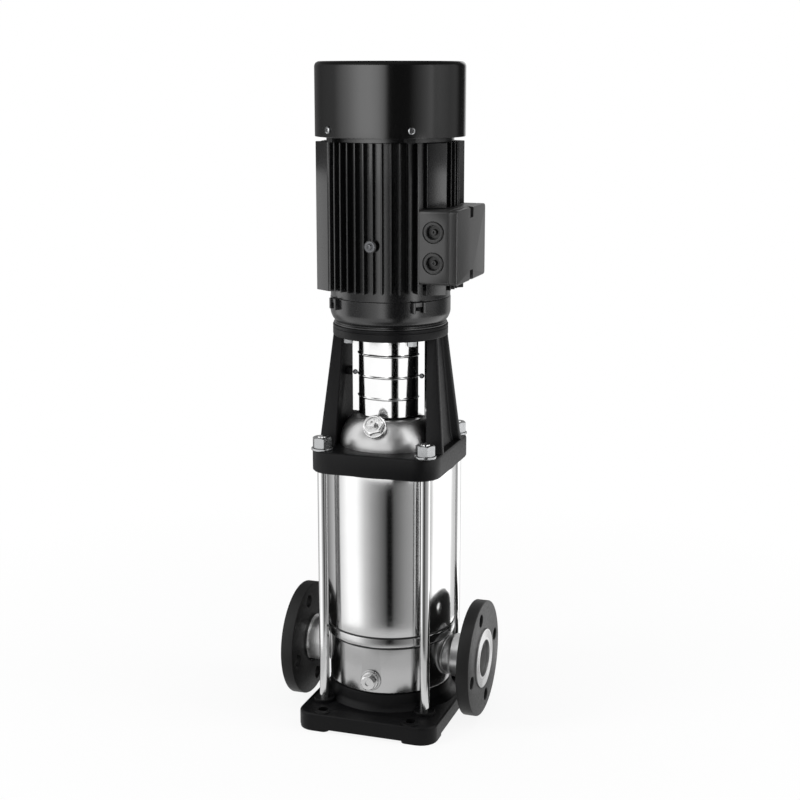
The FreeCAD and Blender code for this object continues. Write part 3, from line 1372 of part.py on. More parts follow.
def fan_cover():
    """Sheet cover over the fan, with a rounded edge and a slotted grille."""
    item = new_body("fan_cover")
    inner = "(cover_radius - cover_sheet)"
    inner_round = "(cover_round - cover_sheet)"
    section = [
        (inner, cover_bottom),
        ("cover_radius", cover_bottom),
        ("cover_radius", f"{cover_top} - cover_round"),
        ("cover_radius - cover_round", cover_top, "cover_round"),
        ("0", cover_top),
        ("0", f"{cover_top} - cover_sheet"),
        (f"{inner} - {inner_round}", f"{cover_top} - cover_sheet"),
        (inner, f"{cover_top} - cover_round", f"-{inner_round}"),
    ]
    spin(item, draw(item, "cover_section", "XZ_Plane", section))
    rows = [
        ("inner", "grille_start", "grille_middle - grille_bar / 2", 16),
        ("outer", "grille_middle + grille_bar / 2", "cover_radius - cover_round - grille_bar", 32),
    ]
    for name, near, far, count in rows:
        slot = rectangle(near, "-grille_slot / 2", far, "grille_slot / 2")
        top = draw(item, f"{name}_slot", "XY_Plane", slot, offset=("0", "0", f"{cover_top} + 1"))
        polar(item, [pocket(item, top, "cover_sheet + 2")], count)
    cover_screw_holes(item)
    return item


def cover_screw_sketches(item, name, corners):
    """The same section on the axes of the fan cover's two screws in front."""
    height = ("0", f"{cover_bottom} + cover_screw_rise", "0")
    sides = (("right", "270 + cover_screw_turn"), ("left", "270 - cover_screw_turn"))
    return [draw(item, f"{name}_{word}", "XZ_Plane", corners, offset=height, swing=angle)
            for word, angle in sides]


def cover_screw_holes(item):
    """Holes for the fan cover's four screws."""
    hole = rectangle("frame_radius + 5", "0", "cover_radius + 1", "cover_screw / 2 + plug_gap")
    for sketch in cover_screw_sketches(item, "screw_hole", hole):
        polar(item, [spin(item, sketch, "H_Axis", cut=True)], 2)


def fan_cover_screws():
    """Four screws that hold the fan cover to its lugs."""
    item = new_body("fan_cover_screws")
    screw = [
        ("frame_radius + 8", "0"),
        ("cover_radius + 3", "0"),
        ("cover_radius + 2", "cover_screw_head / 2 - 1"),
        ("cover_radius + 0.4", "cover_screw_head / 2"),
        ("cover_radius + 0.4", "cover_screw / 2"),
        ("frame_radius + 8", "cover_screw / 2"),
    ]
    for sketch in cover_screw_sketches(item, "screw", screw):
        polar(item, [spin(item, sketch, "H_Axis")], 2)
    return item


def bearing(label, bottom):
    """Sealed ball bearing, bought in as one unit."""
    bore = "(journal / 2 + running_gap)"
    step = "bearing_width / 8"
    section = [
        (bore, bottom),
        (f"{bore} + 4", bottom),
        (f"{bore} + 4", f"{bottom} + {step}"),
        ("bearing_radius - 4", f"{bottom} + {step}"),
        ("bearing_radius - 4", bottom),
        ("bearing_radius", bottom),
        ("bearing_radius", f"{bottom} + bearing_width"),
        ("bearing_radius - 4", f"{bottom} + bearing_width"),
        ("bearing_radius - 4", f"{bottom} + bearing_width - {step}"),
        (f"{bore} + 4", f"{bottom} + bearing_width - {step}"),
        (f"{bore} + 4", f"{bottom} + bearing_width"),
        (bore, f"{bottom} + bearing_width"),
    ]
    return turned(label, section)


def motor_shaft():
    """Motor shaft with its journals, from the coupling to the fan."""
    foot = f"({coupling_bottom} + coupling_length / 2 + 2)"
    low_step = f"({low_bearing} - bearing_lift / 2)"
    top = f"({fan_bottom} + fan_height - 4)"
    section = [
        ("0", foot),
        ("motor_shaft / 2 - 1", foot),
        ("motor_shaft / 2", f"{foot} + 1"),
        ("motor_shaft / 2", low_step),
        ("journal / 2", low_step),
        ("journal / 2", f"{low_bearing} + bearing_width"),
        ("journal / 2 + 3", f"{low_bearing} + bearing_width"),
        ("journal / 2 + 3", f"{high_bearing}"),
        ("journal / 2", f"{high_bearing}"),
        ("journal / 2", f"{high_bearing} + bearing_width + 5"),
        ("motor_shaft / 2 - 2", f"{high_bearing} + bearing_width + 5"),
        ("motor_shaft / 2 - 2", top),
        ("0", top),
    ]
    return turned("motor_shaft", section)


def rotor_core():
    """Squirrel cage rotor with its end rings."""
    inner = "journal / 2 + 3 + running_gap"
    section = [
        (inner, stator_bottom),
        ("rotor_radius - 14", stator_bottom),
        ("rotor_radius - 14", f"{stator_bottom} - 8"),
        ("rotor_radius - 3", f"{stator_bottom} - 8"),
        ("rotor_radius - 3", stator_bottom),
        ("rotor_radius", stator_bottom),
        ("rotor_radius", stator_top),
        ("rotor_radius - 3", stator_top),
        ("rotor_radius - 3", f"{stator_top} + 8"),
        ("rotor_radius - 14", f"{stator_top} + 8"),
        ("rotor_radius - 14", stator_top),
        (inner, stator_top),
    ]
    return turned("rotor_core", section)


def cooling_fan():
    """Fan with eight straight blades on a disc, which cools either way round."""
    item = new_body("cooling_fan")
    bore = "(motor_shaft / 2 - 2 + running_gap)"
    section = [
        (bore, fan_bottom),
        ("motor_shaft / 2 + 6", fan_bottom),
        ("fan_radius", fan_bottom),
        ("fan_radius", f"{fan_bottom} + 2"),
        ("motor_shaft / 2 + 6", f"{fan_bottom} + 4"),
        ("motor_shaft / 2 + 6", f"{fan_bottom} + fan_height - 8"),
        (bore, f"{fan_bottom} + fan_height - 8"),
    ]
    spin(item, draw(item, "disc", "XZ_Plane", section))
    half_blade = "fan_blade / 2"
    blade = rectangle("motor_shaft / 2 + 4", f"-{half_blade}", "fan_radius", half_blade)
    foot = draw(item, "blade", "XY_Plane", blade, offset=("0", "0", f"{fan_bottom} + 1"))
    polar(item, [pad(item, foot, "fan_height - 1")], 8)
    return item


def box_outline(inner_edge, half, corner):
    """Half-open outline of the box seen along its cover's normal, in Y and Z."""
    height = "box_height / 2"
    in_y = f"({half} - ({corner}))"
    in_z = f"({height} - ({inner_edge}) - {corner})"
    high = f"({height} - ({inner_edge}))"
    return [
        (in_y, f"-{high}"),
        (half, f"-{in_z}", corner),
        (half, in_z),
        (in_y, high, corner),
        (f"-{in_y}", high),
        (f"-({half})", in_z, corner),
        (f"-({half})", f"-{in_z}"),
        (f"-{in_y}", f"-{high}", corner),
    ]


def terminal_box():
    """Cast box that saddles the frame, with two cable entries on its front face."""
    item = new_body("terminal_box")
    middle_z = ("0", box_middle)
    outline = box_outline("0", "box_half", "box_corner")
    block = draw(item, "block", "YZ_Plane", outline, offset=(*middle_z, "box_inner"))
    pad(item, block, "box_seam - box_inner")
    hollow_outline = box_outline("box_wall", "box_half - box_wall", "(box_corner - box_wall)")
    hollow = draw(item, "hollow", "YZ_Plane", hollow_outline, offset=(*middle_z, "box_seam"))
    pocket(item, hollow, "box_seam - box_inner - box_floor")
    core = draw(item, "saddle", "XY_Plane", circles=[("0", "0", "frame_radius + fit_gap + box_floor")],
                offset=("0", "0", f"{box_bottom} + box_wall - 1"))
    pad(item, core, "box_height - 2 * box_wall + 2")
    outside = rectangle("-2 * frame_radius", "-2 * frame_radius", "box_inner", "2 * frame_radius")
    trim = draw(item, "outside", "XY_Plane", outside, offset=("0", "0", f"{box_bottom} - 1"))
    pocket(item, trim, "box_height + 2", forward=True)
    barrel = draw(item, "barrel", "XY_Plane", circles=[("0", "0", "frame_radius + fit_gap")],
                  offset=("0", "0", f"{box_bottom} - 1"))
    pocket(item, barrel, "box_height + 2", forward=True)
    for name, way in (("high", 1), ("low", -1)):
        entry = [("gland_reach", f"{box_middle} + {way} * gland_spacing / 2", "gland_hole / 2")]
        wide = [("gland_reach", f"{box_middle} + {way} * gland_spacing / 2", "gland_recess / 2")]
        through = draw(item, f"{name}_entry", "XZ_Plane", circles=entry, offset=("0", "0", "box_half + 1"))
        pocket(item, through, "box_wall + 2")
        recess = draw(item, f"{name}_recess", "XZ_Plane", circles=wide,
                      offset=("0", "0", "box_half - gland_recess_depth"))
        pocket(item, recess, "gland_recess_depth + 1", forward=True)
    posts = draw(item, "posts", "YZ_Plane", circles=box_screw_circles("box_screw_inset"),
                 offset=(*middle_z, "box_seam"))
    pad(item, posts, "box_seam - frame_radius - 2 * fit_gap", back=True)
    holes = draw(item, "post_holes", "YZ_Plane", circles=box_screw_circles("box_screw / 2 + plug_gap"),
                 offset=(*middle_z, "box_seam"))
    pocket(item, holes, "box_screw_depth")
    return item


def box_screw_circles(radius):
    """A circle at each cover screw: the middle of the box's two short sides."""
    up = "(box_height / 2 - box_screw_inset)"
    return [("0", up, radius), ("0", f"-{up}", radius)]


def terminal_box_gasket():
    """Flat gasket between the box and its cover."""
    item = new_body("terminal_box_gasket")
    outer = box_outline("0.5", "box_half - 0.5", "box_corner")
    block = draw(item, "gasket", "YZ_Plane", outer, offset=("0", box_middle, "box_seam"))
    pad(item, block, "box_gasket")
    inner = box_outline("box_wall + 10", "box_half - box_wall", "box_corner")
    hollow = draw(item, "gasket_opening", "YZ_Plane", inner, offset=("0", box_middle, "box_seam - 1"))
    pocket(item, hollow, "box_gasket + 2", forward=True)
    holes = draw(item, "gasket_holes", "YZ_Plane", circles=box_screw_circles("box_screw / 2 + fit_gap"),
                 offset=("0", box_middle, "box_seam - 1"))
    pocket(item, holes, "box_gasket + 2", forward=True)
    return item


def terminal_box_cover():
    """Cover of the terminal box, with a notch round each of its two screws."""
    item = new_body("terminal_box_cover")
    seam = "(box_seam + box_gasket)"
    outline = box_outline("0", "box_half", "box_corner")
    block = draw(item, "lid", "YZ_Plane", outline, offset=("0", box_middle, seam))
    pad(item, block, "box_cover")
    inner = box_outline("box_wall + 10", "box_half - box_wall", "box_corner")
    hollow = draw(item, "lid_hollow", "YZ_Plane", inner, offset=("0", box_middle, seam))
    pocket(item, hollow, "box_cover - box_wall", forward=True)
    edge = "(box_height / 2)"
    half_notch = "(box_screw_head / 2 + 3)"
    depth = "(2 * box_screw_inset)"
    for name, way in (("high", 1), ("low", -1)):
        low = f"{way} * ({edge} - {depth})"
        high = f"{way} * ({edge} + 1)"
        corners = rectangle(f"-{half_notch}", low, half_notch, high)
        floor = ("0", box_middle, f"{seam} + box_wall")
        notch = draw(item, f"{name}_notch", "YZ_Plane", corners, offset=floor)
        pocket(item, notch, "box_cover", forward=True)
    holes = draw(item, "lid_holes", "YZ_Plane", circles=box_screw_circles("box_screw / 2 + fit_gap"),
                 offset=("0", box_middle, f"{seam} - 1"))
    pocket(item, holes, "box_cover + 2", forward=True)
    return item


def terminal_box_screws():
    """Two screws that hold the cover of the terminal box."""
    item = new_body("terminal_box_screws")
    seat = "(box_seam + box_gasket + box_wall)"
    heads = draw(item, "heads", "YZ_Plane", circles=box_screw_circles("box_screw_head / 2"),
                 offset=("0", box_middle, seat))
    shanks = draw(item, "shanks", "YZ_Plane", circles=box_screw_circles("box_screw / 2"),
                  offset=("0", box_middle, seat))
    pad(item, heads, "box_screw * 0.8")
    pad(item, shanks, "box_wall + box_gasket + box_screw_depth - 2", back=True)
    return item


def gland_plugs():
    """Blanking plugs in the two cable entries."""
    item = new_body("gland_plugs")
    wall = "(box_half - gland_recess_depth)"
    for name, way in (("high", 1), ("low", -1)):
        centre = ("gland_reach", f"{box_middle} + {way} * gland_spacing / 2")
        rim = "(gland_recess / 2 - gland_recess_depth / 2)"
        section = [
            ("0", "0"),
            ("gland_plug_centre / 2", "0"),
            ("gland_plug_centre / 2", "gland_plug_rim / 2"),
            ("gland_plug_boss / 2", "gland_plug_rim / 2"),
            ("gland_plug_boss / 2", "-gland_plug_rim / 2"),
            (f"{rim} - gland_plug_rim", "-gland_plug_rim / 2"),
            (f"{rim} - gland_plug_rim / 2", "gland_plug_rim"),
            (rim, "gland_plug_rim"),
            (rim, "0"),
            ("gland_hole / 2 - plug_gap", "0"),
            ("gland_hole / 2 - plug_gap", "-gland_plug_depth"),
            ("0", "-gland_plug_depth"),
        ]
        corners = [(f"-{wall} - ({up})", across) for across, up in section]
        sketch = draw(item, f"{name}_plug", "YZ_Plane", corners, offset=("0", centre[1], "gland_reach"))
        spin(item, sketch, "H_Axis")
    return item


def terminal_block():
    """Block with six terminal studs on the floor of the box."""
    item = new_body("terminal_block")
    floor = "(frame_radius + fit_gap + box_floor)"
    corners = rectangle("-block_half_length", "-block_half_width", "block_half_length", "block_half_width")
    block = draw(item, "block", "YZ_Plane", corners, offset=("0", box_middle, floor))
    pad(item, block, "block_height")
    studs = [(f"{column} * stud_pitch", f"{row} * stud_row", "stud_diameter / 2")
             for column in (-1, 0, 1) for row in (-1, 1)]
    stud = draw(item, "studs", "YZ_Plane", circles=studs, offset=("0", box_middle, floor))
    pad(item, stud, "stud_height")
    return item


def build():
    """Make every piece, in the order that the pump goes together."""
    pieces = [
        base_plate(),
        lower_chamber(),
        port_collar("inlet_collar", -1),
        port_collar("outlet_collar", 1),
        loose_flange("inlet_flange", -1),
        loose_flange("outlet_flange", 1),
        flange_lock_rings(),
        drain_plug(),
        drain_plug_washer(),
        outer_sleeve(),
        sleeve_seals(),
        neck_rings(),
        discharge_cage(),
        pump_head(),
        vent_plug(),
        vent_spindle(),
        motor_stool(),
        tie_rods(),
        tie_rod_nuts(),
        tie_rod_washers(),
        coupling_guard("front_guard", "0"),
        coupling_guard("rear_guard", "180"),
        guard_screws(),
        seal_seat(),
        seal_head(),
        pump_shaft(),
        coupling_half("front_coupling_half", -1),
        coupling_half("rear_coupling_half", 1),
        coupling_screws(),
        drive_end_shield(),
        shield_bolts(),
        motor_frame(),
        earth_screw(),
        stator_core(),
        stator_winding(),
        fan_end_shield(),
        fan_cover(),
        fan_cover_screws(),
        bearing("drive_end_bearing", low_bearing),
        bearing("fan_end_bearing", high_bearing),
        motor_shaft(),
        rotor_core(),
        cooling_fan(),
        terminal_box(),
        terminal_box_gasket(),
        terminal_box_cover(),
        terminal_box_screws(),
        gland_plugs(),
        terminal_block(),
    ]
    pieces += [stage_chamber(number + 1) for number in range(STAGES)]
    pieces += [impeller(number + 1) for number in range(STAGES)]
    return pieces


def check(pieces):
    """Stop if anything in the document failed or any piece isn't a sound solid."""
    doc.recompute()
    for item in doc.Objects:
        if "Invalid" in item.State or "Error" in item.State:
            raise RuntimeError(f"{item.Label}: {item.State}")
    for piece in pieces:
        if piece.Shape.isNull() or not piece.Shape.isValid() or not piece.Shape.Solids:
            raise RuntimeError(f"{piece.Label} is not a sound solid")


def export(pieces):
    """Write one file for each piece."""
    os.makedirs(PARTS_FOLDER, exist_ok=True)
    for piece in pieces:
        piece.Shape.exportStep(os.path.join(PARTS_FOLDER, f"{piece.Label}.step"))
        print(f"{piece.Label}: {len(piece.Shape.Solids)} solids, {piece.Shape.Volume / 1000:.1f} cm3")


all_pieces = build()
check(all_pieces)
export(all_pieces)
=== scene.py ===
"""Looks of a vertical multistage pump: cast iron feet, stainless chamber and sleeve, finned motor.

Metres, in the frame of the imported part: +Z up, the inlet along -X, the plugs facing -Y.
Each piece or group of like pieces has its own operator, and main() runs them in order.
"""
import math

import bmesh
import bpy
from bpy.props import FloatProperty, FloatVectorProperty, PointerProperty
from mathutils import Matrix, Vector


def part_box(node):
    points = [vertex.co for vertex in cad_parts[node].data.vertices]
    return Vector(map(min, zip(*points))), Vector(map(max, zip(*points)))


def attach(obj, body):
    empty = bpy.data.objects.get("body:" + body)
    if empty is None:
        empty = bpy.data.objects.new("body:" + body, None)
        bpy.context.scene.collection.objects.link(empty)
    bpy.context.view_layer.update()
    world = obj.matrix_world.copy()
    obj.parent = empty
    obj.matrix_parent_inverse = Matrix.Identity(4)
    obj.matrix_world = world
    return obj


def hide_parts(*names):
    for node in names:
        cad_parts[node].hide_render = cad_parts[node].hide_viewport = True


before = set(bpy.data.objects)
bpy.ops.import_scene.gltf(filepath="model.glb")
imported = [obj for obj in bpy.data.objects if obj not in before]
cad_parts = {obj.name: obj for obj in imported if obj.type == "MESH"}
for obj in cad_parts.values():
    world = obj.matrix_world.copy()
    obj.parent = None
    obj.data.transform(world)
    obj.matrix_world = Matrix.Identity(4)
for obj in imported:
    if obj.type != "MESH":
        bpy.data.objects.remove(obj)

bl_info = {
    "name": "Vertical multistage pump",
    "version": (1, 0, 0),
    "blender": (4, 5, 0),
    "location": "View3D > Sidebar > Pump",
    "description": "Dresses the packed pump with modelled pieces, finishes, lamps and a camera",
    "category": "Object",
}

MM = 0.001
# Clearances between pieces
HAIR = 0.1 * MM
GAP = 0.3 * MM
# Roundings of edges, from a deburred edge to a cast one
FINE = 0.4 * MM
BROKEN = 0.5 * MM
EASED = 0.6 * MM
SOFT = 0.8 * MM
ROUNDED = 1.2 * MM
# Points closer than this are one
WELD = 0.000001
TURN = 2 * math.pi
HALF_TURNS = (0, math.pi)
# Steps round a turned shape, by its size in the picture, and round a corner
SLEEVE_STEPS = 160
COVER_STEPS = 128
ROUND_STEPS = 96
SMALL_STEPS = 48
COARSE_STEPS = 24
DOME_STEPS = 16
BEND_STEPS = 10
BOWL_STEPS = 8
CORNER_STEPS = 6
ARC_STEPS = 4
# Degrees between two faces past which their edge stays sharp: on hexagons, on screws and thin walls, on
# turned pieces, on castings and on beaded sheet
HEX_EDGE = 25
FINE_EDGE = 30
TURNED_EDGE = 35
CAST_EDGE = 40
BEAD_EDGE = 50
# How far the plugs and screws happen to be turned about their own axes
DRAIN_PLUG_TURN = math.radians(12)
VENT_PLUG_TURN = math.radians(20)
BLEED_SCREW_TURN = math.radians(5)
CROSS_TURN = 0.6
UP = Vector((0, 0, 1))
RIGHT = (1, 0, 0)
LEFT = (-1, 0, 0)
FRONT = (0, -1, 0)
SIDES = (-1, 1)
QUARTERS = [(x, y) for x in SIDES for y in SIDES]


def linear(code):
    """Linear red, green and blue of an sRGB hex colour."""
    parts = [int(code[k:k + 2], 16) / 255 for k in (1, 3, 5)]
    return [p / 12.92 if p <= 0.04045 else ((p + 0.055) / 1.055) ** 2.4 for p in parts]


def distance(name, description, millimetres):
    """A length that a user can change, in the scene's units."""
    return FloatProperty(
        name=name, description=description, default=millimetres * MM, unit="LENGTH", precision=4
    )


def rotation(name, description, degrees):
    """An angle that a user can change."""
    return FloatProperty(name=name, description=description, default=math.radians(degrees), subtype="ANGLE")


def colour(name, description, code):
    """A colour that a user can change."""
    return FloatVectorProperty(
        name=name, description=description, subtype="COLOR", size=3, min=0, max=1, default=linear(code)
    )


# Sizes and colours


class PumpSizes(bpy.types.PropertyGroup):
    """Sizes of the dressed pieces that the frame's boxes don't give."""

    rim_height: distance("Rim height", "Floor to the top of the base's rim", 26)
    rim_round: distance("Rim rounding", "Rounding of the rim's top edge", 4)
    base_corner: distance("Base corner", "Corner radius of the base seen from above", 24)
    base_wall: distance("Base wall", "Side and top walls of the hollow base", 9)
    foot_relief: distance("Foot relief", "Gap under the rim between the feet", 4)
    foot_length: distance("Foot length", "Each foot along the ports", 48)
    foot_width: distance("Foot width", "Each foot across the ports", 50)
    deck_inset: distance("Deck inset", "Width of the sloping deck", 14)
    deck_rise: distance("Deck rise", "Rise of the deck from the rim to its inner edge", 2.5)
    rod_boss: distance("Rod boss", "Boss round each tie rod's foot", 30)
    rod_boss_top: distance("Rod boss top", "Floor to the top of a rod's boss", 33)
    anchor_spacing_x: distance("Anchors along", "Foundation holes along the ports", 130)
    anchor_spacing_y: distance("Anchors across", "Foundation holes across the ports", 215)
    anchor_hole: distance("Anchor hole", "Foundation hole diameter", 14)
    anchor_boss: distance("Anchor boss", "Boss round a foundation hole", 28)
    port_height: distance("Port height", "Floor to the centre of both ports", 90)
    port_bore: distance("Port bore", "Inside diameter of both ports", 53)
    nozzle_root: distance("Nozzle root", "Nozzle's diameter at the chamber", 56)
    nozzle_wall: distance("Nozzle wall", "Wall of the nozzle under the flange", 4.5)
    nozzle_neck: distance("Nozzle neck", "Straight neck behind a flange", 24)
    chamber_radius: distance("Chamber radius", "Outside of the lower chamber", 88)
    chamber_wall: distance("Chamber wall", "Wall of the lower chamber", 4)
    band_height: distance("Band height", "Thicker band round the chamber's top", 16)
    funnel_radius: distance("Funnel radius", "Outside of the suction funnel", 43)
    drain_height: distance("Drain height", "Floor to the drain plug", 73)
    drain_boss: distance("Drain boss", "Boss round the drain plug", 30)
    bolt_circle: distance("Bolt circle", "Flange bolt circle diameter", 125)
    bolt_hole: distance("Bolt hole", "Flange bolt hole diameter", 18)
    bolt_clock: rotation("Bolt clocking", "Turn of the bolt holes from straight up", 13.5)
    rod_diameter: distance("Tie rod", "Tie rod diameter", 14)
    thread_pitch: distance("Thread pitch", "Pitch of the tie rods' threads", 2)
    nut_flats: distance("Nut flats", "Tie rod nut across its flats", 24)
    drain_flats: distance("Drain hexagon", "Drain plug across its flats", 19)
    dome_radius: distance("Dome radius", "Outside of the head's dome at the plate", 72)
    dome_straight: distance("Dome wall", "Height of the dome's upright wall above the plate's underside", 34)
    dome_tangent: distance("Dome shoulder", "Reach of the dome's round shoulder from its corner", 24.2)
    dome_top: distance("Dome top", "Radius of the dome's flat top", 52)
    dome_drop: distance("Dome drop", "Top of the seal housing down to the dome's top", 13)
    seal_housing: distance("Seal housing", "Outside radius of the seal housing", 32)
    seal_seat: distance("Seal seat", "Inside radius of the seal housing", 19)
    vent_reach: distance("Vent reach", "Shaft axis to the foot of the vent boss", 58)
    vent_height: distance("Vent height", "Plate's underside to the foot of the vent boss", 60)
    vent_lean: rotation("Vent lean", "Vent plug's axis above level", 35)
    vent_boss: distance("Vent boss", "Vent boss diameter", 26)
    vent_boss_length: distance("Vent boss length", "Vent boss along its axis", 9)
    vent_collar: distance("Vent collar", "Collar of the vent plug", 33)
    vent_collar_length: distance("Vent collar length", "Collar of the vent plug along its axis", 4)
    vent_flats: distance("Vent hexagon", "Vent plug across its flats", 26)
    vent_head: distance("Vent head", "Height of the vent plug's hexagon", 9)
    vent_spindle: distance("Bleed screw", "Bleed screw diameter", 8)
    vent_spindle_flats: distance("Bleed screw flats", "Bleed screw's head across its flats", 10.6)
    vent_spindle_head: distance("Bleed screw head", "Height of the bleed screw's head", 5.6)
    sleeve_wall: distance("Sleeve wall", "Wall of the outer sleeve", 1.5)
    plate_corner: distance("Plate corner", "Corner radius of the stool's plate", 33)
    plate_round: distance("Plate rounding", "Rounding of the plate's edges", 3)
    ring_radius: distance("Ring radius", "Outside of the stool's ring", 80.3)
    ring_bore: distance("Ring bore", "Inside radius of the stool's ring", 56)
    ring_thickness: distance("Ring thickness", "Stool's ring", 16)
    leg_inner_foot: distance("Leg inner foot", "Shaft axis to the leg's inner face at the plate", 66)
    leg_outer_foot: distance("Leg outer foot", "Shaft axis to the leg's outer face at the plate", 91)
    leg_half_foot: distance("Leg half foot", "Half width of the leg at the plate", 47)
    leg_inner_top: distance("Leg inner top", "Shaft axis to the leg's inner face at the ring", 61)
    leg_half_top: distance("Leg half top", "Half width of the leg at the ring", 27)
    leg_rib: distance("Leg rib", "Rib along each edge of a leg", 9)
    leg_hollow_foot: distance("Leg hollow foot", "Depth between the ribs at the plate", 11)
    leg_hollow_top: distance("Leg hollow top", "Depth between the ribs at the ring", 6)
    motor_bolt_head: distance("Motor bolt", "Head of the bolts under the motor", 13)
    guard_radius: distance("Guard radius", "Outside of a guard's bulge", 45)
    guard_offset: distance("Guard offset", "Shaft axis to a guard's flat flange", 10)
    guard_sheet: distance("Guard sheet", "Thickness of the guards", 1.2)
    guard_bead: distance("Guard bead", "Height of the guards' beads", 1.5)
    guard_bead_width: distance("Guard bead width", "Width of the guards' beads", 4)
    guard_bead_pitch: distance("Guard bead pitch", "Between the guards' beads", 30)
    guard_screw_head: distance("Guard screw", "Head of the guard screws", 7)
    guard_screw_reach: distance("Guard screw reach", "Shaft axis to the guard screws", 49.1)
    guard_lug: distance("Guard lug", "Height of the lugs that carry the guards", 10)
    shield_neck: distance("Shield neck", "End shield's waist", 76.5)
    shield_radius: distance("Shield radius", "End shield at the frame", 83.5)
    ear_reach: distance("Ear reach", "Shaft axis to the tip of the end shield's ears", 89)
    ear_width: distance("Ear width", "End shield's ears", 20)
    ear_height: distance("Ear height", "End shield's ears", 15)
    seam_lift: distance("Seam lift", "Bottom of the frame's box up to its seam with the end shield", 5)
    frame_radius: distance("Frame radius", "Motor frame without its fins", 83)
    frame_bore: distance("Frame bore", "Inside radius of the motor frame", 72)
    fin_tip: distance("Fin tip", "Radius of the fin tips", 94.5)
    fin_thickness: distance("Fin thickness", "Cooling fin at its tip", 2.2)
    fin_step: rotation("Fin step", "Turn between neighbouring fins", 7.6)
    fin_start: distance("Fin start", "Bottom of the frame to the fins", 17)
    rail_start: distance("Rail start", "Bottom of the frame to the rails", 13.5)
    rail_near_x: distance("Rail near x", "Rail's outer face, edge away from the side", 70.5)
    rail_near_y: distance("Rail near y", "Rail's outer face, edge away from the side", 56)
    rail_far_x: distance("Rail far x", "Rail's outer face, edge at the side", 93.5)
    rail_far_y: distance("Rail far y", "Rail's outer face, edge at the side", 41.5)
    earth_rise: distance("Earth screw height", "Bottom of the frame to the earth screw", 81)
    earth_side: distance("Earth screw side", "Shaft axis to the earth screw, sideways", 3.3)
    earth_boss: distance("Earth pad", "Pad under the earth screw", 17)
    cover_round: distance("Fan cover rounding", "Rounding of the fan cover's top edge", 7)
    cover_sheet: distance("Fan cover sheet", "Thickness of the fan cover", 1.6)
    grille_slot: distance("Grille slot", "Width of a slot in the grille", 5)
    grille_start: distance("Grille start", "Shaft axis to the inner slots", 24)
    grille_middle: distance("Grille middle", "Shaft axis to the ring between the rows of slots", 52.5)
    grille_bar: distance("Grille bar", "Width of that ring", 5)
    cover_screw_head: distance("Fan cover screw", "Head of the fan cover screws", 10)
    cover_screw_turn: rotation("Fan cover screw turn", "Fan cover screws from the front", 34.3)
    box_corner: distance("Box corner", "Corner radius of the terminal box", 5)
    box_screw_head: distance("Box screw", "Head of the cover screws", 9)
    box_screw_inset: distance("Box screw inset", "Edge of the cover to its screws", 7)
    gland_reach: distance("Cable entry reach", "Shaft axis to the cable entries", 83)
    gland_spacing: distance("Cable entry spacing", "Between the two cable entries", 41)
    gland_recess: distance("Cable entry recess", "Turned face round a cable entry", 29)
    gland_hole: distance("Cable entry hole", "Hole of a cable entry", 25)
    gland_depth: distance("Cable entry depth", "Depth of that turned face", 2)


class PumpFinishes(bpy.types.PropertyGroup):
    """Colours of the finishes."""

    iron_paint: colour("Iron enamel", "Black enamel on the iron castings", "#0b0b0c")
    flange_paint: colour("Flange enamel", "Duller black on the loose flanges", "#1f1f1f")
    motor_paint: colour("Motor enamel", "Black enamel on the motor", "#0b0b0c")
    cowl_paint: colour("Cowl enamel", "Gloss black on the fan cover", "#080808")
    box_paint: colour("Box enamel", "Black enamel on the terminal box", "#242424")
    steel: colour("Stainless steel", "Turned and polished stainless steel", "#cecece")
    chamber_steel: colour("Chamber steel", "Duller stainless steel of the lower chamber", "#b2b2b2")
    blasted_steel: colour("Blasted steel", "Bead-blasted stainless steel of the head", "#a6a6a6")
    bright_zinc: colour("Zinc plate", "Bright zinc on small fasteners", "#999a9b")
    dull_steel: colour("Dulled steel", "Oiled steel of the box and earth screws", "#5c5d5f")
    dark_rubber: colour("Rubber", "Black rubber", "#141414")
    dark_plastic: colour("Black plastic", "Moulded black plastic", "#191919")
    pale_plastic: colour("Grey plastic", "Moulded grey plastic", "#8a8c8e")
    winding: colour("Copper", "Varnished copper wire", "#8c4a2a")
    sheet_iron: colour("Lamination", "Stacked electrical sheet", "#5b5c5e")


class StudioSettings(bpy.types.PropertyGroup):
    """Camera's place, angles and lens."""

    azimuth: rotation("Azimuth", "Camera's bearing from the pump's front", 18.83)
    pan: rotation("Pan", "Camera's turn off the pump's axis", -0.36)
    tilt: rotation("Tilt", "Camera's look down", 12.23)
    reach: distance("Reach", "Camera to the pump's axis", 2081.65)
    height: distance("Height", "Camera above the floor", 909.92)
    focal_length: FloatProperty(
        name="Focal length", description="Lens in millimetres on a 36 mm sensor", default=67.96,
        subtype="NONE",
    )


# Node trees


def add_node(tree, kind, inputs=None, **settings):
    """Add a node to a tree with its settings, and set or link its inputs."""
    node = tree.nodes.new(kind)
    for name, value in settings.items():
        setattr(node, name, value)
    for key, value in (inputs or {}).items():
        if isinstance(value, bpy.types.NodeSocket):
            tree.links.new(value, node.inputs[key])
        else:
            node.inputs[key].default_value = value
    return node


def start_material(name, **constants):
    """A new material and its tree, with the shader's constant inputs set."""
    material = bpy.data.materials.new(name)
    material.use_nodes = True
    tree = material.node_tree
    shader = tree.nodes["Principled BSDF"]
    for key, value in constants.items():
        shader.inputs[key.replace("_", " ")].default_value = value
    return material, tree


def coordinates(tree, stretch=(1, 1, 1)):
    """Object coordinates in metres, squeezed along each axis by a factor."""
    source = add_node(tree, "ShaderNodeTexCoord")
    mapping = add_node(tree, "ShaderNodeMapping", {"Vector": source.outputs["Object"], "Scale": stretch})
    return mapping.outputs["Vector"]


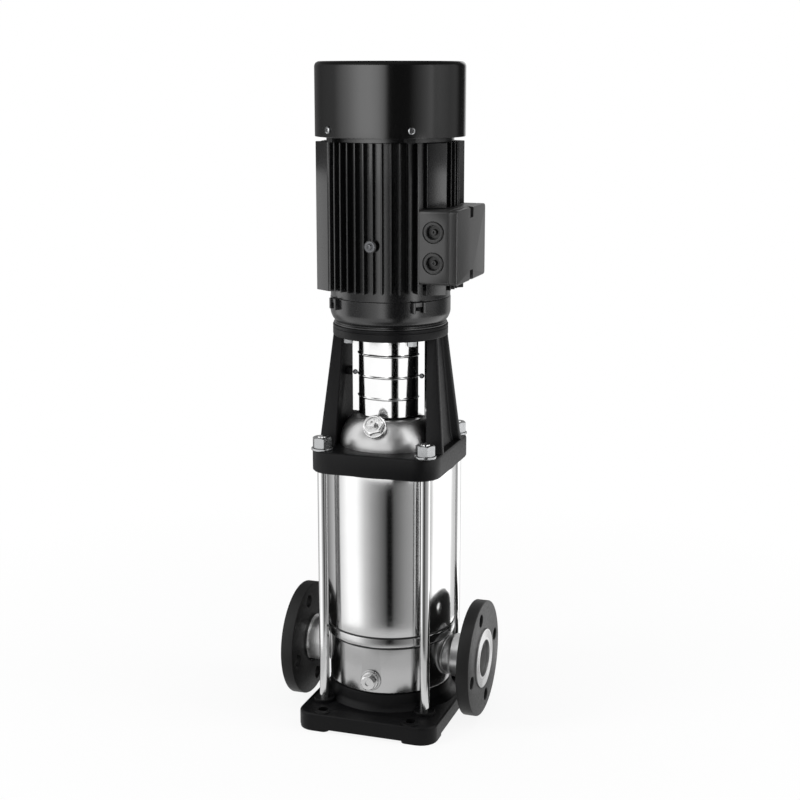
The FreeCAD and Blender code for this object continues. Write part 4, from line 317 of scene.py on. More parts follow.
def grains(tree, vector, size, detail=2, roughness=0.5):
    """Noise whose blotches are about a given size in millimetres."""
    inputs = {"Vector": vector, "Scale": 1 / (size * MM), "Detail": detail, "Roughness": roughness}
    return add_node(tree, "ShaderNodeTexNoise", inputs).outputs["Fac"]


def spread(tree, factor, low, high):
    """Map a noise's middle range onto low to high."""
    inputs = {"Value": factor, "From Min": 0.3, "From Max": 0.7, "To Min": low, "To Max": high}
    return add_node(tree, "ShaderNodeMapRange", inputs).outputs["Result"]


def shades(tree, factor, tone, darker, lighter):
    """A colour that wanders between a darker and a lighter shade of one tone."""
    low = [c * darker for c in tone] + [1]
    high = [min(1, c * lighter) for c in tone] + [1]
    return add_node(tree, "ShaderNodeMix", {0: factor, 6: low, 7: high}, data_type="RGBA").outputs[2]


def bumps(tree, layers):
    """Stack bumps, each of a height and a depth in millimetres."""
    normal = None
    for height, depth in layers:
        inputs = {"Height": height, "Distance": depth * MM, "Strength": 1}
        if normal is not None:
            inputs["Normal"] = normal
        normal = add_node(tree, "ShaderNodeBump", inputs).outputs["Normal"]
    return normal


def dressed(material, tint, roughness, layers):
    """A material with its shader's colour, roughness and stacked bumps linked."""
    tree = material.node_tree
    inputs = tree.nodes["Principled BSDF"].inputs
    tree.links.new(tint, inputs["Base Color"])
    tree.links.new(roughness, inputs["Roughness"])
    tree.links.new(bumps(tree, layers), inputs["Normal"])
    return material


# Finishes


def enamel_on_sand_casting(name, tone, gloss=0.4):
    """Black enamel over a sand casting: soft orange peel over the mould's grain, satin gloss."""
    material, tree = start_material(name, IOR=1.5, Specular_IOR_Level=0.12)
    place = coordinates(tree)
    cloud = grains(tree, place, 45, 3)
    peel = grains(tree, place, 3.2, 2)
    # Real sand is finer: its grain is drawn as coarse as it needs to show
    sand = grains(tree, place, 0.9, 3, 0.6)
    tint = shades(tree, cloud, tone, 0.8, 1.35)
    roughness = spread(tree, peel, gloss - 0.05, gloss + 0.07)
    return dressed(material, tint, roughness, [(peel, 0.12), (sand, 0.05)])


def enamel_on_die_casting(name, tone, gloss=0.25):
    """Black enamel over die-cast aluminium: a fine even peel and a soft shine."""
    material, tree = start_material(name, IOR=1.5)
    place = coordinates(tree)
    cloud = grains(tree, place, 60, 2)
    peel = grains(tree, place, 2.2, 2)
    dust = grains(tree, place, 0.7, 2)
    tint = shades(tree, cloud, tone, 0.85, 1.25)
    roughness = spread(tree, dust, gloss - 0.04, gloss + 0.06)
    return dressed(material, tint, roughness, [(peel, 0.03), (dust, 0.006)])


def enamel_on_drawn_sheet(name, tone):
    """Gloss enamel on deep-drawn sheet: nearly smooth, with a long faint ripple."""
    material, tree = start_material(name, IOR=1.5)
    place = coordinates(tree)
    ripple = grains(tree, place, 30, 1)
    peel = grains(tree, place, 1.8, 2)
    tint = shades(tree, ripple, tone, 0.9, 1.2)
    roughness = spread(tree, peel, 0.14, 0.19)
    return dressed(material, tint, roughness, [(ripple, 0.05), (peel, 0.0015)])


def turned_stainless(name, tone, axis="Z", gloss=0.13, line=0.35):
    """Stainless steel polished while it turned: fine rings round one axis stretch each highlight."""
    material, tree = start_material(name, Metallic=1.0)
    squeeze = [1 if way == axis else 0.02 for way in "XYZ"]
    # Real polishing lines are finer: they are drawn as coarse as they need to show
    rings = grains(tree, coordinates(tree, squeeze), line, 3, 0.7)
    place = coordinates(tree)
    smear = grains(tree, place, 40, 3)
    tint = shades(tree, smear, tone, 0.93, 1.04)
    roughness = spread(tree, rings, gloss - 0.03, gloss + 0.06)
    return dressed(material, tint, roughness, [(rings, 0.004), (smear, 0.06)])


def blasted_stainless(name, tone, gloss=0.32):
    """Pressed and bead-blasted stainless steel: an even fine grain and a broad soft shine."""
    material, tree = start_material(name, Metallic=1.0)
    place = coordinates(tree)
    # The marks of real beads are finer: they are drawn as coarse as they need to show
    beads = grains(tree, place, 0.6, 2)
    smear = grains(tree, place, 18, 3)
    tint = shades(tree, smear, tone, 0.88, 1.05)
    roughness = spread(tree, smear, gloss - 0.05, gloss + 0.05)
    return dressed(material, tint, roughness, [(beads, 0.02), (smear, 0.1)])


def plated_steel(name, tone):
    """Zinc plate on steel: bright, a little cloudy, with rolled scratches."""
    material, tree = start_material(name, Metallic=1.0)
    place = coordinates(tree)
    cloud = grains(tree, place, 4, 3)
    scratch = grains(tree, coordinates(tree, (1, 0.1, 1)), 0.5, 2)
    tint = shades(tree, cloud, tone, 0.92, 1.04)
    roughness = spread(tree, cloud, 0.2, 0.3)
    return dressed(material, tint, roughness, [(scratch, 0.01)])


def moulded_plastic(name, tone, gloss=0.4):
    """Moulded plastic or rubber: a fine spark-eroded texture, matt."""
    material, tree = start_material(name, IOR=1.46)
    place = coordinates(tree)
    spark = grains(tree, place, 0.5, 2)
    cloud = grains(tree, place, 20, 2)
    tint = shades(tree, cloud, tone, 0.85, 1.15)
    roughness = spread(tree, spark, gloss - 0.05, gloss + 0.08)
    return dressed(material, tint, roughness, [(spark, 0.03)])


def stacked_sheet(name, tone):
    """Punched electrical sheets, half a millimetre each, seen on edge."""
    material, tree = start_material(name, Metallic=1.0)
    layers = grains(tree, coordinates(tree, (0.02, 0.02, 1)), 0.5, 1)
    tint = shades(tree, layers, tone, 0.6, 1.3)
    roughness = spread(tree, layers, 0.35, 0.5)
    return dressed(material, tint, roughness, [(layers, 0.05)])


def finishes():
    """Make each finish once and return them by slot.

    After a tone come the axis that lines run round, the roughness and the width of a line in millimetres.
    """
    tones = bpy.context.scene.pump_finishes
    if "cast_iron_black" not in MATERIALS:
        MATERIALS.update({
            "cast_iron_black": enamel_on_sand_casting("black_enamel_on_cast_iron", tones.iron_paint),
            "flange_black": enamel_on_sand_casting("black_enamel_on_flange", tones.flange_paint, 0.42),
            "aluminium_black": enamel_on_die_casting("black_enamel_on_aluminium", tones.motor_paint),
            "box_enamel": enamel_on_die_casting("black_enamel_on_terminal_box", tones.box_paint, 0.34),
            "steel_black": enamel_on_drawn_sheet("gloss_enamel_on_sheet", tones.cowl_paint),
            "stainless": turned_stainless("polished_stainless", tones.steel),
            "stainless_matt": blasted_stainless("blasted_stainless", tones.blasted_steel, 0.34),
            "satin_chamber": turned_stainless("satin_chamber_steel", tones.chamber_steel, "Z", 0.17, 0.5),
            "satin_ports": turned_stainless("satin_port_steel", tones.steel, "X", 0.32, 0.6),
            "port_steel": turned_stainless("turned_port_faces", tones.blasted_steel, "X", 0.34, 0.5),
            "mirror_sheet": turned_stainless("bright_rolled_sheet", tones.steel, "X", 0.1, 0.3),
            "plug_steel": plated_steel("bright_turned_plugs", tones.steel),
            "dark_steel": plated_steel("dulled_steel_screws", tones.dull_steel),
            "shaft_steel": turned_stainless("ground_shaft_steel", tones.steel, "Z", 0.22, 0.2),
            "zinc": plated_steel("zinc_plate", tones.bright_zinc),
            "rubber": moulded_plastic("black_rubber", tones.dark_rubber, 0.6),
            "plastic_black": moulded_plastic("black_polyamide", tones.dark_plastic),
            "plastic_grey": moulded_plastic("grey_polyamide", tones.pale_plastic),
            "copper": plated_steel("varnished_copper", tones.winding),
            "lamination": stacked_sheet("electrical_sheet", tones.sheet_iron),
            "seal_face": moulded_plastic("carbon_seal_face", tones.dark_rubber, 0.25),
        })
    return MATERIALS


MATERIALS = {}


# Shapes


def lathe(profile, start=(0, 0, 0), direction=(0, 0, 1), steps=ROUND_STEPS):
    """Turn a closed profile about an axis: radius, height and, at a round corner, its reach and steps."""
    shape = bmesh.new()
    verts = [shape.verts.new((point[0], 0, point[1])) for point in profile]
    for first, second in zip(verts, verts[1:] + verts[:1]):
        shape.edges.new((first, second))
    for vert, point in zip(verts, profile):
        if len(point) > 2:
            round_corners(shape, [vert], *point[2:])
    bmesh.ops.spin(
        shape, geom=shape.verts[:] + shape.edges[:], cent=(0, 0, 0), axis=UP, angle=TURN, steps=steps,
        use_merge=True,
    )
    bmesh.ops.remove_doubles(shape, verts=shape.verts, dist=WELD)
    bmesh.ops.dissolve_degenerate(shape, dist=WELD, edges=shape.edges)
    bmesh.ops.recalc_face_normals(shape, faces=shape.faces)
    return stand(shape, start, direction)


def bar(radius, bottom, top, start=(0, 0, 0), direction=(0, 0, 1), steps=SMALL_STEPS):
    """A plain round bar from a bottom to a top along its axis."""
    return lathe([(0, bottom), (radius, bottom), (radius, top), (0, top)], start, direction, steps)


def round_corners(shape, verts, radius, steps=ARC_STEPS):
    """Round corners of an outline."""
    bmesh.ops.bevel(
        shape, geom=verts, offset=radius, offset_type="OFFSET", segments=steps, profile=0.5,
        affect="VERTICES", material=-1,
    )


def round_edges(shape, edges, width, steps=3):
    """Round the given edges."""
    bmesh.ops.bevel(
        shape, geom=edges, offset=width, offset_type="OFFSET", segments=steps, profile=0.5, affect="EDGES",
        material=-1, clamp_overlap=True,
    )


def stand(shape, start, direction=(0, 0, 1), turn=0):
    """Move a shape to a start point with its axis along a direction."""
    aim = Vector(direction).normalized().to_track_quat("Z", "Y").to_matrix().to_4x4()
    if Vector(direction).normalized() == UP:
        aim = Matrix.Identity(4)
    matrix = Matrix.Translation(start) @ aim @ Matrix.Rotation(turn, 4, "Z")
    bmesh.ops.transform(shape, matrix=matrix, verts=shape.verts)
    return shape


def shifted(shape, x=0, y=0, z=0):
    """A shape moved along each axis."""
    bmesh.ops.translate(shape, verts=shape.verts, vec=(x, y, z))
    return shape


def prism(points, height, rim=0, foot=0):
    """Raise an outline of x, y and corner radius, with its top and bottom edges rounded."""
    shape = bmesh.new()
    verts = [shape.verts.new((point[0], point[1], 0)) for point in points]
    shape.faces.new(verts)
    for vert, point in zip(verts, points):
        if len(point) > 2 and point[2]:
            round_corners(shape, [vert], point[2], CORNER_STEPS)
    raised = bmesh.ops.extrude_face_region(shape, geom=shape.faces[:])["geom"]
    top = [item for item in raised if isinstance(item, bmesh.types.BMVert)]
    bmesh.ops.translate(shape, verts=top, vec=(0, 0, height))
    bmesh.ops.recalc_face_normals(shape, faces=shape.faces)
    for width, level in ((rim, height), (foot, 0)):
        if width:
            loop = [e for e in shape.edges if all(abs(v.co.z - level) < WELD for v in e.verts)]
            round_edges(shape, loop, width)
    return shape


def oblong(half_x, half_y, corner):
    """Outline of a rectangle with rounded corners."""
    return [
        (-half_x, -half_y, corner), (half_x, -half_y, corner), (half_x, half_y, corner),
        (-half_x, half_y, corner),
    ]


def copied(shape, matrices):
    """Copies of a shape, one for each matrix, as one shape."""
    mesh = bpy.data.meshes.new("copied")
    shape.to_mesh(mesh)
    shape.free()
    result = bmesh.new()
    for matrix in matrices:
        before = len(result.verts)
        result.from_mesh(mesh)
        result.verts.ensure_lookup_table()
        bmesh.ops.transform(result, matrix=matrix, verts=result.verts[before:])
    bpy.data.meshes.remove(mesh)
    return result


def at_places(shape, places):
    """Copies of a shape moved to each place."""
    return copied(shape, [Matrix.Translation(place) for place in places])


def at_corners(shape, x, y):
    """Four copies of a shape, one in each quarter."""
    return at_places(shape, [(side * x, face * y, 0) for side, face in QUARTERS])


def around(shape, angles):
    """Copies of a shape turned about the upright axis."""
    return copied(shape, [Matrix.Rotation(angle, 4, "Z") for angle in angles])


def joined(*shapes):
    """Several shapes as one, not merged."""
    result = bmesh.new()
    for shape in shapes:
        mesh = bpy.data.meshes.new("joined")
        shape.to_mesh(mesh)
        shape.free()
        result.from_mesh(mesh)
        bpy.data.meshes.remove(mesh)
    return result


def combined(shape, tool, operation="DIFFERENCE"):
    """Cut a tool from a shape, or unite or intersect them."""
    objects = []
    for each in (shape, tool):
        mesh = bpy.data.meshes.new("combined")
        each.to_mesh(mesh)
        each.free()
        item = bpy.data.objects.new("combined", mesh)
        bpy.context.scene.collection.objects.link(item)
        objects.append(item)
    base, cutter = objects
    modifier = base.modifiers.new("combined", "BOOLEAN")
    modifier.operation = operation
    modifier.solver = "EXACT"
    modifier.use_self = True
    modifier.object = cutter
    evaluated = base.evaluated_get(bpy.context.evaluated_depsgraph_get())
    result = bmesh.new()
    result.from_mesh(evaluated.to_mesh())
    evaluated.to_mesh_clear()
    for item in objects:
        mesh = item.data
        bpy.data.objects.remove(item)
        bpy.data.meshes.remove(mesh)
    bmesh.ops.remove_doubles(result, verts=result.verts, dist=WELD)
    return result


def hexagon(flats, height, both_ends=True):
    """Hexagon head or nut with turned chamfers on one or both ends."""
    corner = flats / math.sqrt(3)
    points = [(corner * math.cos(k * TURN / 6), corner * math.sin(k * TURN / 6)) for k in range(6)]
    crown = flats / 2 * 0.96
    clear = corner * 1.002
    chamfer = (corner - crown) * math.tan(TURN / 12)
    low = chamfer if both_ends else 0
    low_radius = crown if both_ends else corner * 1.01
    cone = lathe([
        (0, 0), (low_radius, 0), (clear, low), (clear, height - chamfer), (crown, height), (0, height),
    ], steps=SMALL_STEPS)
    return combined(prism(points, height), cone, "INTERSECT")


def threaded(radius, bottom, top, pitch):
    """Right side of a rod's profile with turned thread ridges, from bottom to top."""
    root = radius - pitch * 0.54
    half_crest = pitch * 0.06
    profile = []
    for k in range(int((top - bottom) / pitch)):
        level = bottom + k * pitch
        profile += [
            (radius, level + half_crest), (root, level + pitch / 2), (radius, level + pitch - half_crest),
        ]
    return profile


def piece(name, shape, slot, body, nodes=(), smooth=TURNED_EDGE, material=None):
    """Turn a shape into a named object with its finish, body and the nodes that it stands for."""
    bmesh.ops.remove_doubles(shape, verts=shape.verts, dist=WELD)
    mesh = bpy.data.meshes.new(name)
    shape.to_mesh(mesh)
    shape.free()
    mesh.materials.append(finishes()[material or slot])
    mesh.shade_smooth()
    mesh.set_sharp_from_angle(angle=math.radians(smooth))
    item = bpy.data.objects.new(name, mesh)
    bpy.context.scene.collection.objects.link(item)
    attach(item, body)
    if nodes:
        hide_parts(*nodes)
    return item


def broad_faces_flat(item):
    """Let the broad faces of a casting stay flat beside their small fillets."""
    shading = item.modifiers.new("broad_faces", "WEIGHTED_NORMAL")
    shading.keep_sharp = True
    shading.weight = 100


# Pieces


class PUMP_OT_base(bpy.types.Operator):
    """Hollow iron base with its seat, rod bosses, foundation holes and feet"""

    bl_idname = "pump.base"
    bl_label = "Base"

    def execute(self, context):
        sizes = context.scene.pump_sizes
        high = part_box("base_plate")[1]
        rim = sizes.rim_height
        flare = sizes.rim_round
        casting = base_shell(sizes, high)
        wall = sizes.chamber_radius
        seat = lathe([
            (0, rim), (wall + 2 * flare, rim), (wall + 2 * flare, rim + sizes.deck_rise / 2),
            (wall + flare / 3, rim + sizes.deck_rise + flare * 1.5, flare), (wall, high.z, flare / 4),
            (0, high.z),
        ])
        half_boss = sizes.rod_boss / 2
        boss = lathe([
            (0, rim - flare), (half_boss + flare, rim - flare), (half_boss, rim + flare / 2),
            (half_boss, sizes.rod_boss_top, flare / 4), (0, sizes.rod_boss_top),
        ], steps=SMALL_STEPS)
        half_pad = sizes.anchor_boss / 2
        pad = lathe([
            (0, rim - flare), (half_pad, rim - flare), (half_pad, rim + flare / 2, flare / 5),
            (0, rim + flare / 2),
        ], steps=SMALL_STEPS)
        rod_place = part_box("tie_rods")[1].x - sizes.rod_diameter / 2
        anchor_x = sizes.anchor_spacing_x / 2
        anchor_y = sizes.anchor_spacing_y / 2
        bosses = at_corners(boss, rod_place, rod_place)
        for part in (seat, bosses, at_corners(pad, anchor_x, anchor_y), base_feet(sizes, high)):
            casting = combined(casting, part, "UNION")
        hole = bar(sizes.anchor_hole / 2, -flare, high.z)
        casting = combined(casting, at_corners(hole, anchor_x, anchor_y))
        base = piece("base_casting", casting, "cast_iron_black", "pump", ["base_plate"], FINE_EDGE)
        broad_faces_flat(base)
        return {"FINISHED"}


def base_shell(sizes, high):
    """The base's rim and sloping deck, hollow underneath."""
    height = sizes.rim_height - sizes.foot_relief
    casting = prism(oblong(high.x, high.y, sizes.base_corner), height, sizes.rim_round)
    shifted(casting, z=sizes.foot_relief)
    deck = max(casting.faces, key=lambda face: (face.calc_center_median().z, face.calc_area()))
    bmesh.ops.inset_region(casting, faces=[deck], thickness=sizes.deck_inset, depth=sizes.deck_rise)
    under = max(casting.faces, key=lambda face: (-face.normal.z, face.calc_area()))
    bmesh.ops.inset_region(casting, faces=[under], thickness=sizes.base_wall)
    bmesh.ops.inset_region(casting, faces=[under], thickness=0, depth=sizes.base_wall - height)
    return casting


def base_feet(sizes, high):
    """Feet under the base's four corners, a hair inside its rim."""
    inner_corner = 8 * MM
    near_x = high.x - sizes.foot_length
    near_y = high.y - sizes.foot_width
    far_x = high.x - MM / 2
    far_y = high.y - MM / 2
    outline = [
        (near_x, near_y, inner_corner), (far_x, near_y, inner_corner), (far_x, far_y, sizes.base_corner),
        (near_x, far_y, inner_corner),
    ]
    feet = [[(x * across, y * up, corner) for across, up, corner in outline] for x, y in QUARTERS]
    return joined(*[prism(foot, 2 * sizes.foot_relief) for foot in feet])


class PUMP_OT_chamber(bpy.types.Operator):
    """Stainless lower chamber with both nozzles, its drain boss and the suction funnel inside"""

    bl_idname = "pump.chamber"
    bl_label = "Lower chamber"

    def execute(self, context):
        sizes = context.scene.pump_sizes
        low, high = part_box("lower_chamber")
        sleeve_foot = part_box("outer_sleeve")[0].z
        band_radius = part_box("outer_sleeve")[1].x + 0.4 * MM
        band_foot = sleeve_foot - sizes.band_height
        band_top = sleeve_foot - SOFT
        band_round = 3 * MM
        shoulder_round = 4 * MM
        outside = sizes.chamber_radius
        inside = outside - sizes.chamber_wall
        floor = low.z + sizes.chamber_wall
        shell = lathe([
            (0, low.z), (outside, low.z, band_round), (outside, band_foot),
            (band_radius, band_foot, band_round, CORNER_STEPS),
            (band_radius, band_top, shoulder_round, CORNER_STEPS), (inside + MM, band_top),
            (inside, band_top), (inside, floor), (0, floor),
        ])
        bore = sizes.port_bore / 2
        start = Vector((0, 0, sizes.port_height))
        opening = bar(bore + MM, inside / 2, high.x, start, RIGHT, ROUND_STEPS)
        boss_radius = sizes.drain_boss / 2
        boss_face = -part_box("drain_plug_washer")[1].y
        boss = lathe([
            (0, inside), (boss_radius, inside), (boss_radius, boss_face, MM), (0, boss_face),
        ], (0, 0, sizes.drain_height), FRONT, SMALL_STEPS)
        shell = combined(shell, boss, "UNION")
        shell = combined(shell, around(opening, HALF_TURNS))
        nozzle = around(port_nozzle(sizes, high.x, start), HALF_TURNS)
        piece("port_nozzles", nozzle, "stainless", "pump", material="satin_ports")
        piece("lower_chamber_shell", shell, "stainless", "pump", ["lower_chamber"], material="satin_chamber")
        # Black rubber rings under the band and at the sleeve's foot: partly seals, partly painted shade that
        # draws the dark lines along the band's edges
        bead_foot = band_foot - 3 * MM
        seam_inside = band_radius - 3.4 * MM
        seam_outside = band_radius + 0.2 * MM
        seam_foot = sleeve_foot - 1.6 * MM
        seam_top = sleeve_foot + EASED
        beads = joined(
            lathe([
                (outside - MM, bead_foot), (outside + BROKEN, bead_foot, BROKEN),
                (outside + BROKEN, band_foot), (outside - MM, band_foot),
            ]),
            lathe([
                (seam_inside, seam_foot), (seam_outside, seam_foot, BROKEN), (seam_outside, seam_top, BROKEN),
                (seam_inside, seam_top),
            ]),
        )
        piece("band_seal_and_shade_beads", beads, "rubber", "pump")
        funnel_bore = sizes.funnel_radius - sizes.chamber_wall
        funnel = lathe([
            (funnel_bore, floor), (sizes.funnel_radius, floor), (sizes.funnel_radius, sleeve_foot - MM),
            (funnel_bore, sleeve_foot - MM),
        ])
        mouth = bar(bore, 0, outside, start, LEFT, ROUND_STEPS)
        piece("suction_funnel", combined(funnel, mouth), "stainless", "pump")
        weld = shifted(nozzle_weld(sizes.nozzle_root / 2, outside), *start)
        piece("nozzle_welds", around(weld, HALF_TURNS), "stainless_matt", "pump")
        return {"FINISHED"}


def port_nozzle(sizes, end, start):
    """One nozzle: a short root on the chamber that tapers to the neck behind the flange."""
    bore = sizes.port_bore / 2
    root = sizes.nozzle_root / 2
    neck = bore + sizes.nozzle_wall
    neck_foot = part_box("outlet_flange")[0].x - sizes.nozzle_neck
    sunk = sizes.chamber_radius - 6 * MM
    root_end = sizes.chamber_radius + 8 * MM
    return lathe([
        (bore, sunk), (root, sunk), (root, root_end, 4 * MM), (neck, neck_foot, 6 * MM), (neck, end, BROKEN),
        (bore, end),
    ], start, RIGHT)


def nozzle_weld(root, outside):
    """Weld bead where a nozzle's root meets the round chamber."""
    proud = BROKEN
    bead = 1.6 * MM
    path = []
    for k in range(ROUND_STEPS):
        angle = k * TURN / ROUND_STEPS
        across = (root + proud) * math.sin(angle)
        path.append((math.sqrt((outside + proud) ** 2 - across ** 2), across, root * math.cos(angle)))
    return round_bar(path, bead, 2)


def round_bar(path, radius, steps):
    """A round bar along a closed path of points."""
    curve = bpy.data.curves.new("bar", "CURVE")
    curve.dimensions = "3D"
    curve.bevel_depth = radius
    curve.bevel_resolution = steps
    spline = curve.splines.new("POLY")
    spline.points.add(len(path) - 1)
    for point, place in zip(spline.points, path):
        point.co = (*place, 1)
    spline.use_cyclic_u = True
    item = bpy.data.objects.new("bar", curve)
    mesh = bpy.data.meshes.new_from_object(item)
    shape = bmesh.new()
    shape.from_mesh(mesh)
    bpy.data.objects.remove(item)
    bpy.data.curves.remove(curve)
    bpy.data.meshes.remove(mesh)
    return shape


class PUMP_OT_ports(bpy.types.Operator):
    """Raised sealing collars and the loose iron flanges behind them"""

    bl_idname = "pump.ports"
    bl_label = "Ports"

    def execute(self, context):
        sizes = context.scene.pump_sizes
        for side, port in zip(SIDES, ("inlet", "outlet")):
            low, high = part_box(f"{port}_collar")
            face = side * (high.x if side > 0 else low.x)
            back = side * (low.x if side > 0 else high.x)
            collar = sealing_collar(sizes, side, back, face, high.y)
            piece(
                f"{port}_sealing_collar", collar, "stainless", "pump", [f"{port}_collar"], HEX_EDGE,
                "port_steel",
            )
            flange = loose_flange(sizes, side, face, high.y, *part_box(f"{port}_flange"))
            piece(
                f"{port}_loose_flange", flange, "cast_iron_black", f"{port}_flange_body", [f"{port}_flange"],
                material="flange_black",
            )
        return {"FINISHED"}


def sealing_collar(sizes, side, back, face, edge):
    """Raised ring round a port, with four turned sealing grooves in its face."""
    bore = sizes.port_bore / 2
    groove = BROKEN
    first_groove = 0.3
    groove_step = 0.16
    profile = [(bore, back), (bore, face, groove)]
    for k in range(4):
        radius = bore + (edge - bore) * (first_groove + groove_step * k)
        profile += [(radius - groove, face), (radius, face - groove), (radius + groove, face)]
    profile += [(edge, face, groove), (edge, back)]
    return lathe(profile, (0, 0, sizes.port_height), (side, 0, 0))


def loose_flange(sizes, side, face, edge, low, high):
    """Flange that turns behind its collar: a step for the collar and four countersunk holes."""
    front = side * (high.x if side > 0 else low.x)
    back = side * (low.x if side > 0 else high.x)
    neck = sizes.port_bore / 2 + sizes.nozzle_wall + GAP
    step = face - 5 * MM - GAP
    rim_round = 1.5 * MM
    body = lathe([
        (neck, back, MM), (high.y, back, rim_round), (high.y, front, rim_round), (edge + GAP, front, BROKEN),
        (edge + GAP, step), (neck, step),
    ], (0, 0, sizes.port_height), (side, 0, 0))
    hole_radius = sizes.bolt_hole / 2
    sink = 0.9 * MM
    hole = lathe([
        (0, back - MM), (hole_radius + sink + MM, back - MM), (hole_radius, back + sink),
        (hole_radius, front - sink), (hole_radius + sink + MM, front + MM), (0, front + MM),
    ], (0, 0, 0), (side, 0, 0), SMALL_STEPS)
    reach = sizes.bolt_circle / 2
    places = []
    for k in range(4):
        angle = k * TURN / 4 - sizes.bolt_clock
        places.append((0, reach * math.sin(angle), sizes.port_height + reach * math.cos(angle)))
    return combined(body, at_places(hole, places))


class PUMP_OT_sleeve(bpy.types.Operator):
    """Thin polished outer sleeve, its ends trued and broken"""

    bl_idname = "pump.sleeve"
    bl_label = "Outer sleeve"

    def execute(self, context):
        low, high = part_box("outer_sleeve")
        inside = high.x - context.scene.pump_sizes.sleeve_wall
        sleeve = lathe([
            (inside, low.z), (high.x, low.z, BROKEN), (high.x, high.z, BROKEN), (inside, high.z),
        ], steps=SLEEVE_STEPS)
        piece("polished_sleeve", sleeve, "stainless", "pump", ["outer_sleeve"])
        return {"FINISHED"}


class PUMP_OT_tie_rods(bpy.types.Operator):
    """Four tie rods with threaded tops, chamfered nuts and washers"""

    bl_idname = "pump.tie_rods"
    bl_label = "Tie rods"

    def execute(self, context):
        sizes = context.scene.pump_sizes
        low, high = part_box("tie_rods")
        radius = sizes.rod_diameter / 2
        place = high.x - radius
        nut_low, nut_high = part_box("tie_rod_nuts")
        thread_foot = nut_low.z - 4 * sizes.thread_pitch
        profile = [(0, low.z), (radius, low.z)]
        profile += threaded(radius, thread_foot, high.z - MM, sizes.thread_pitch)
        profile += [(radius - MM, high.z), (0, high.z)]
        rods = at_corners(lathe(profile, steps=SMALL_STEPS), place, place)
        piece("threaded_tie_rods", rods, "stainless", "pump", ["tie_rods"])
        nut = hexagon(sizes.nut_flats, nut_high.z - nut_low.z)
        nut = shifted(combined(nut, bar(radius, -MM, nut_high.z)), z=nut_low.z)
        piece("rod_nuts", at_corners(nut, place, place), "zinc", "pump", ["tie_rod_nuts"], HEX_EDGE)
        low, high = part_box("tie_rod_washers")
        outer = high.x - place
        washer = lathe([
            (radius + GAP, low.z), (outer, low.z, GAP), (outer, high.z, EASED), (radius + GAP, high.z, GAP),
        ], steps=SMALL_STEPS)
        piece("rod_washers", at_corners(washer, place, place), "zinc", "pump", ["tie_rod_washers"])
        return {"FINISHED"}


class PUMP_OT_plugs(bpy.types.Operator):
    """Drain plug with its washer, vent plug and the bleed screw in the vent plug"""

    bl_idname = "pump.plugs"
    bl_label = "Plugs"

    def execute(self, context):
        sizes = context.scene.pump_sizes
        low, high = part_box("drain_plug_washer")
        thickness = high.y - low.y
        start = (0, high.y, sizes.drain_height)
        inner = sizes.drain_flats / 4
        washer = lathe([
            (inner, 0), (high.x, 0, GAP), (high.x, thickness, FINE), (inner, thickness),
        ], start, FRONT, SMALL_STEPS)
        piece("drain_washer", washer, "zinc", "pump", ["drain_plug_washer"], material="plug_steel")
        plug = drain_plug(sizes, high.x, thickness, low.y)
        piece("drain_plug_hexagon", plug, "zinc", "pump", ["drain_plug"], HEX_EDGE, "plug_steel")
        outward = vent_axis(sizes)
        start = vent_foot(sizes) + outward * sizes.vent_boss_length
        plug = stand(vent_plug(sizes), start, outward, VENT_PLUG_TURN)
        piece("vent_plug_hexagon", plug, "zinc", "pump", ["vent_plug"], HEX_EDGE, "plug_steel")
        screw = stand(bleed_screw(sizes), start, outward, BLEED_SCREW_TURN)
        piece("bleed_screw", screw, "zinc", "vent_spindle_body", ["vent_spindle"], HEX_EDGE, "plug_steel")
        return {"FINISHED"}


def drain_plug(sizes, radius, foot, seat):
    """Collared hexagon plug with a dimple in its head."""
    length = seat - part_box("drain_plug")[0].y
    collar_top = foot + 2.8 * MM
    collar = lathe([
        (0, foot), (radius - MM, foot), (radius, foot + MM, FINE), (radius - BROKEN, collar_top, SOFT),
        (0, collar_top),
    ], (0, seat + foot, sizes.drain_height), FRONT, SMALL_STEPS)
    head = hexagon(sizes.drain_flats, length - MM, False)
    stand(head, (0, seat - MM, sizes.drain_height), FRONT, DRAIN_PLUG_TURN)
    dimple_foot = length - 2 * MM
    dimple = lathe([
        (0, dimple_foot), (3.5 * MM, dimple_foot), (4.2 * MM, length + MM), (0, length + MM),
    ], (0, seat, sizes.drain_height), FRONT, SMALL_STEPS)
    return combined(combined(collar, head, "UNION"), dimple)


def vent_axis(sizes):
    """Direction in which the vent plug points out of the head."""
    return Vector((0, -math.cos(sizes.vent_lean), math.sin(sizes.vent_lean)))


def vent_foot(sizes):
    """Foot of the vent boss on the head."""
    return Vector((0, -sizes.vent_reach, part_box("motor_stool")[0].z + sizes.vent_height))


def vent_plug(sizes):
    """Vent plug standing at the origin: collar, hexagon, and a well round the bleed screw."""
    edge = sizes.vent_collar / 2
    collar = lathe([
        (0, 0), (edge, 0, EASED), (edge, sizes.vent_collar_length, ROUNDED), (0, sizes.vent_collar_length),
    ], steps=SMALL_STEPS)
    head = hexagon(sizes.vent_flats, sizes.vent_head + MM, False)
    shifted(head, z=sizes.vent_collar_length - MM)
    top = sizes.vent_collar_length + sizes.vent_head
    well_floor = top - 2.2 * MM
    well_inside = sizes.vent_spindle * 0.85
    well_outside = sizes.vent_flats / 2 * 0.78
    well = lathe([
        (well_inside, well_floor), (well_outside, well_floor), (well_outside + EASED, top + MM),
        (well_inside, top + MM),
    ], steps=SMALL_STEPS)
    plug = combined(combined(collar, head, "UNION"), well)
    return combined(plug, bar(sizes.vent_spindle / 2 + HAIR, top / 2, top + MM))


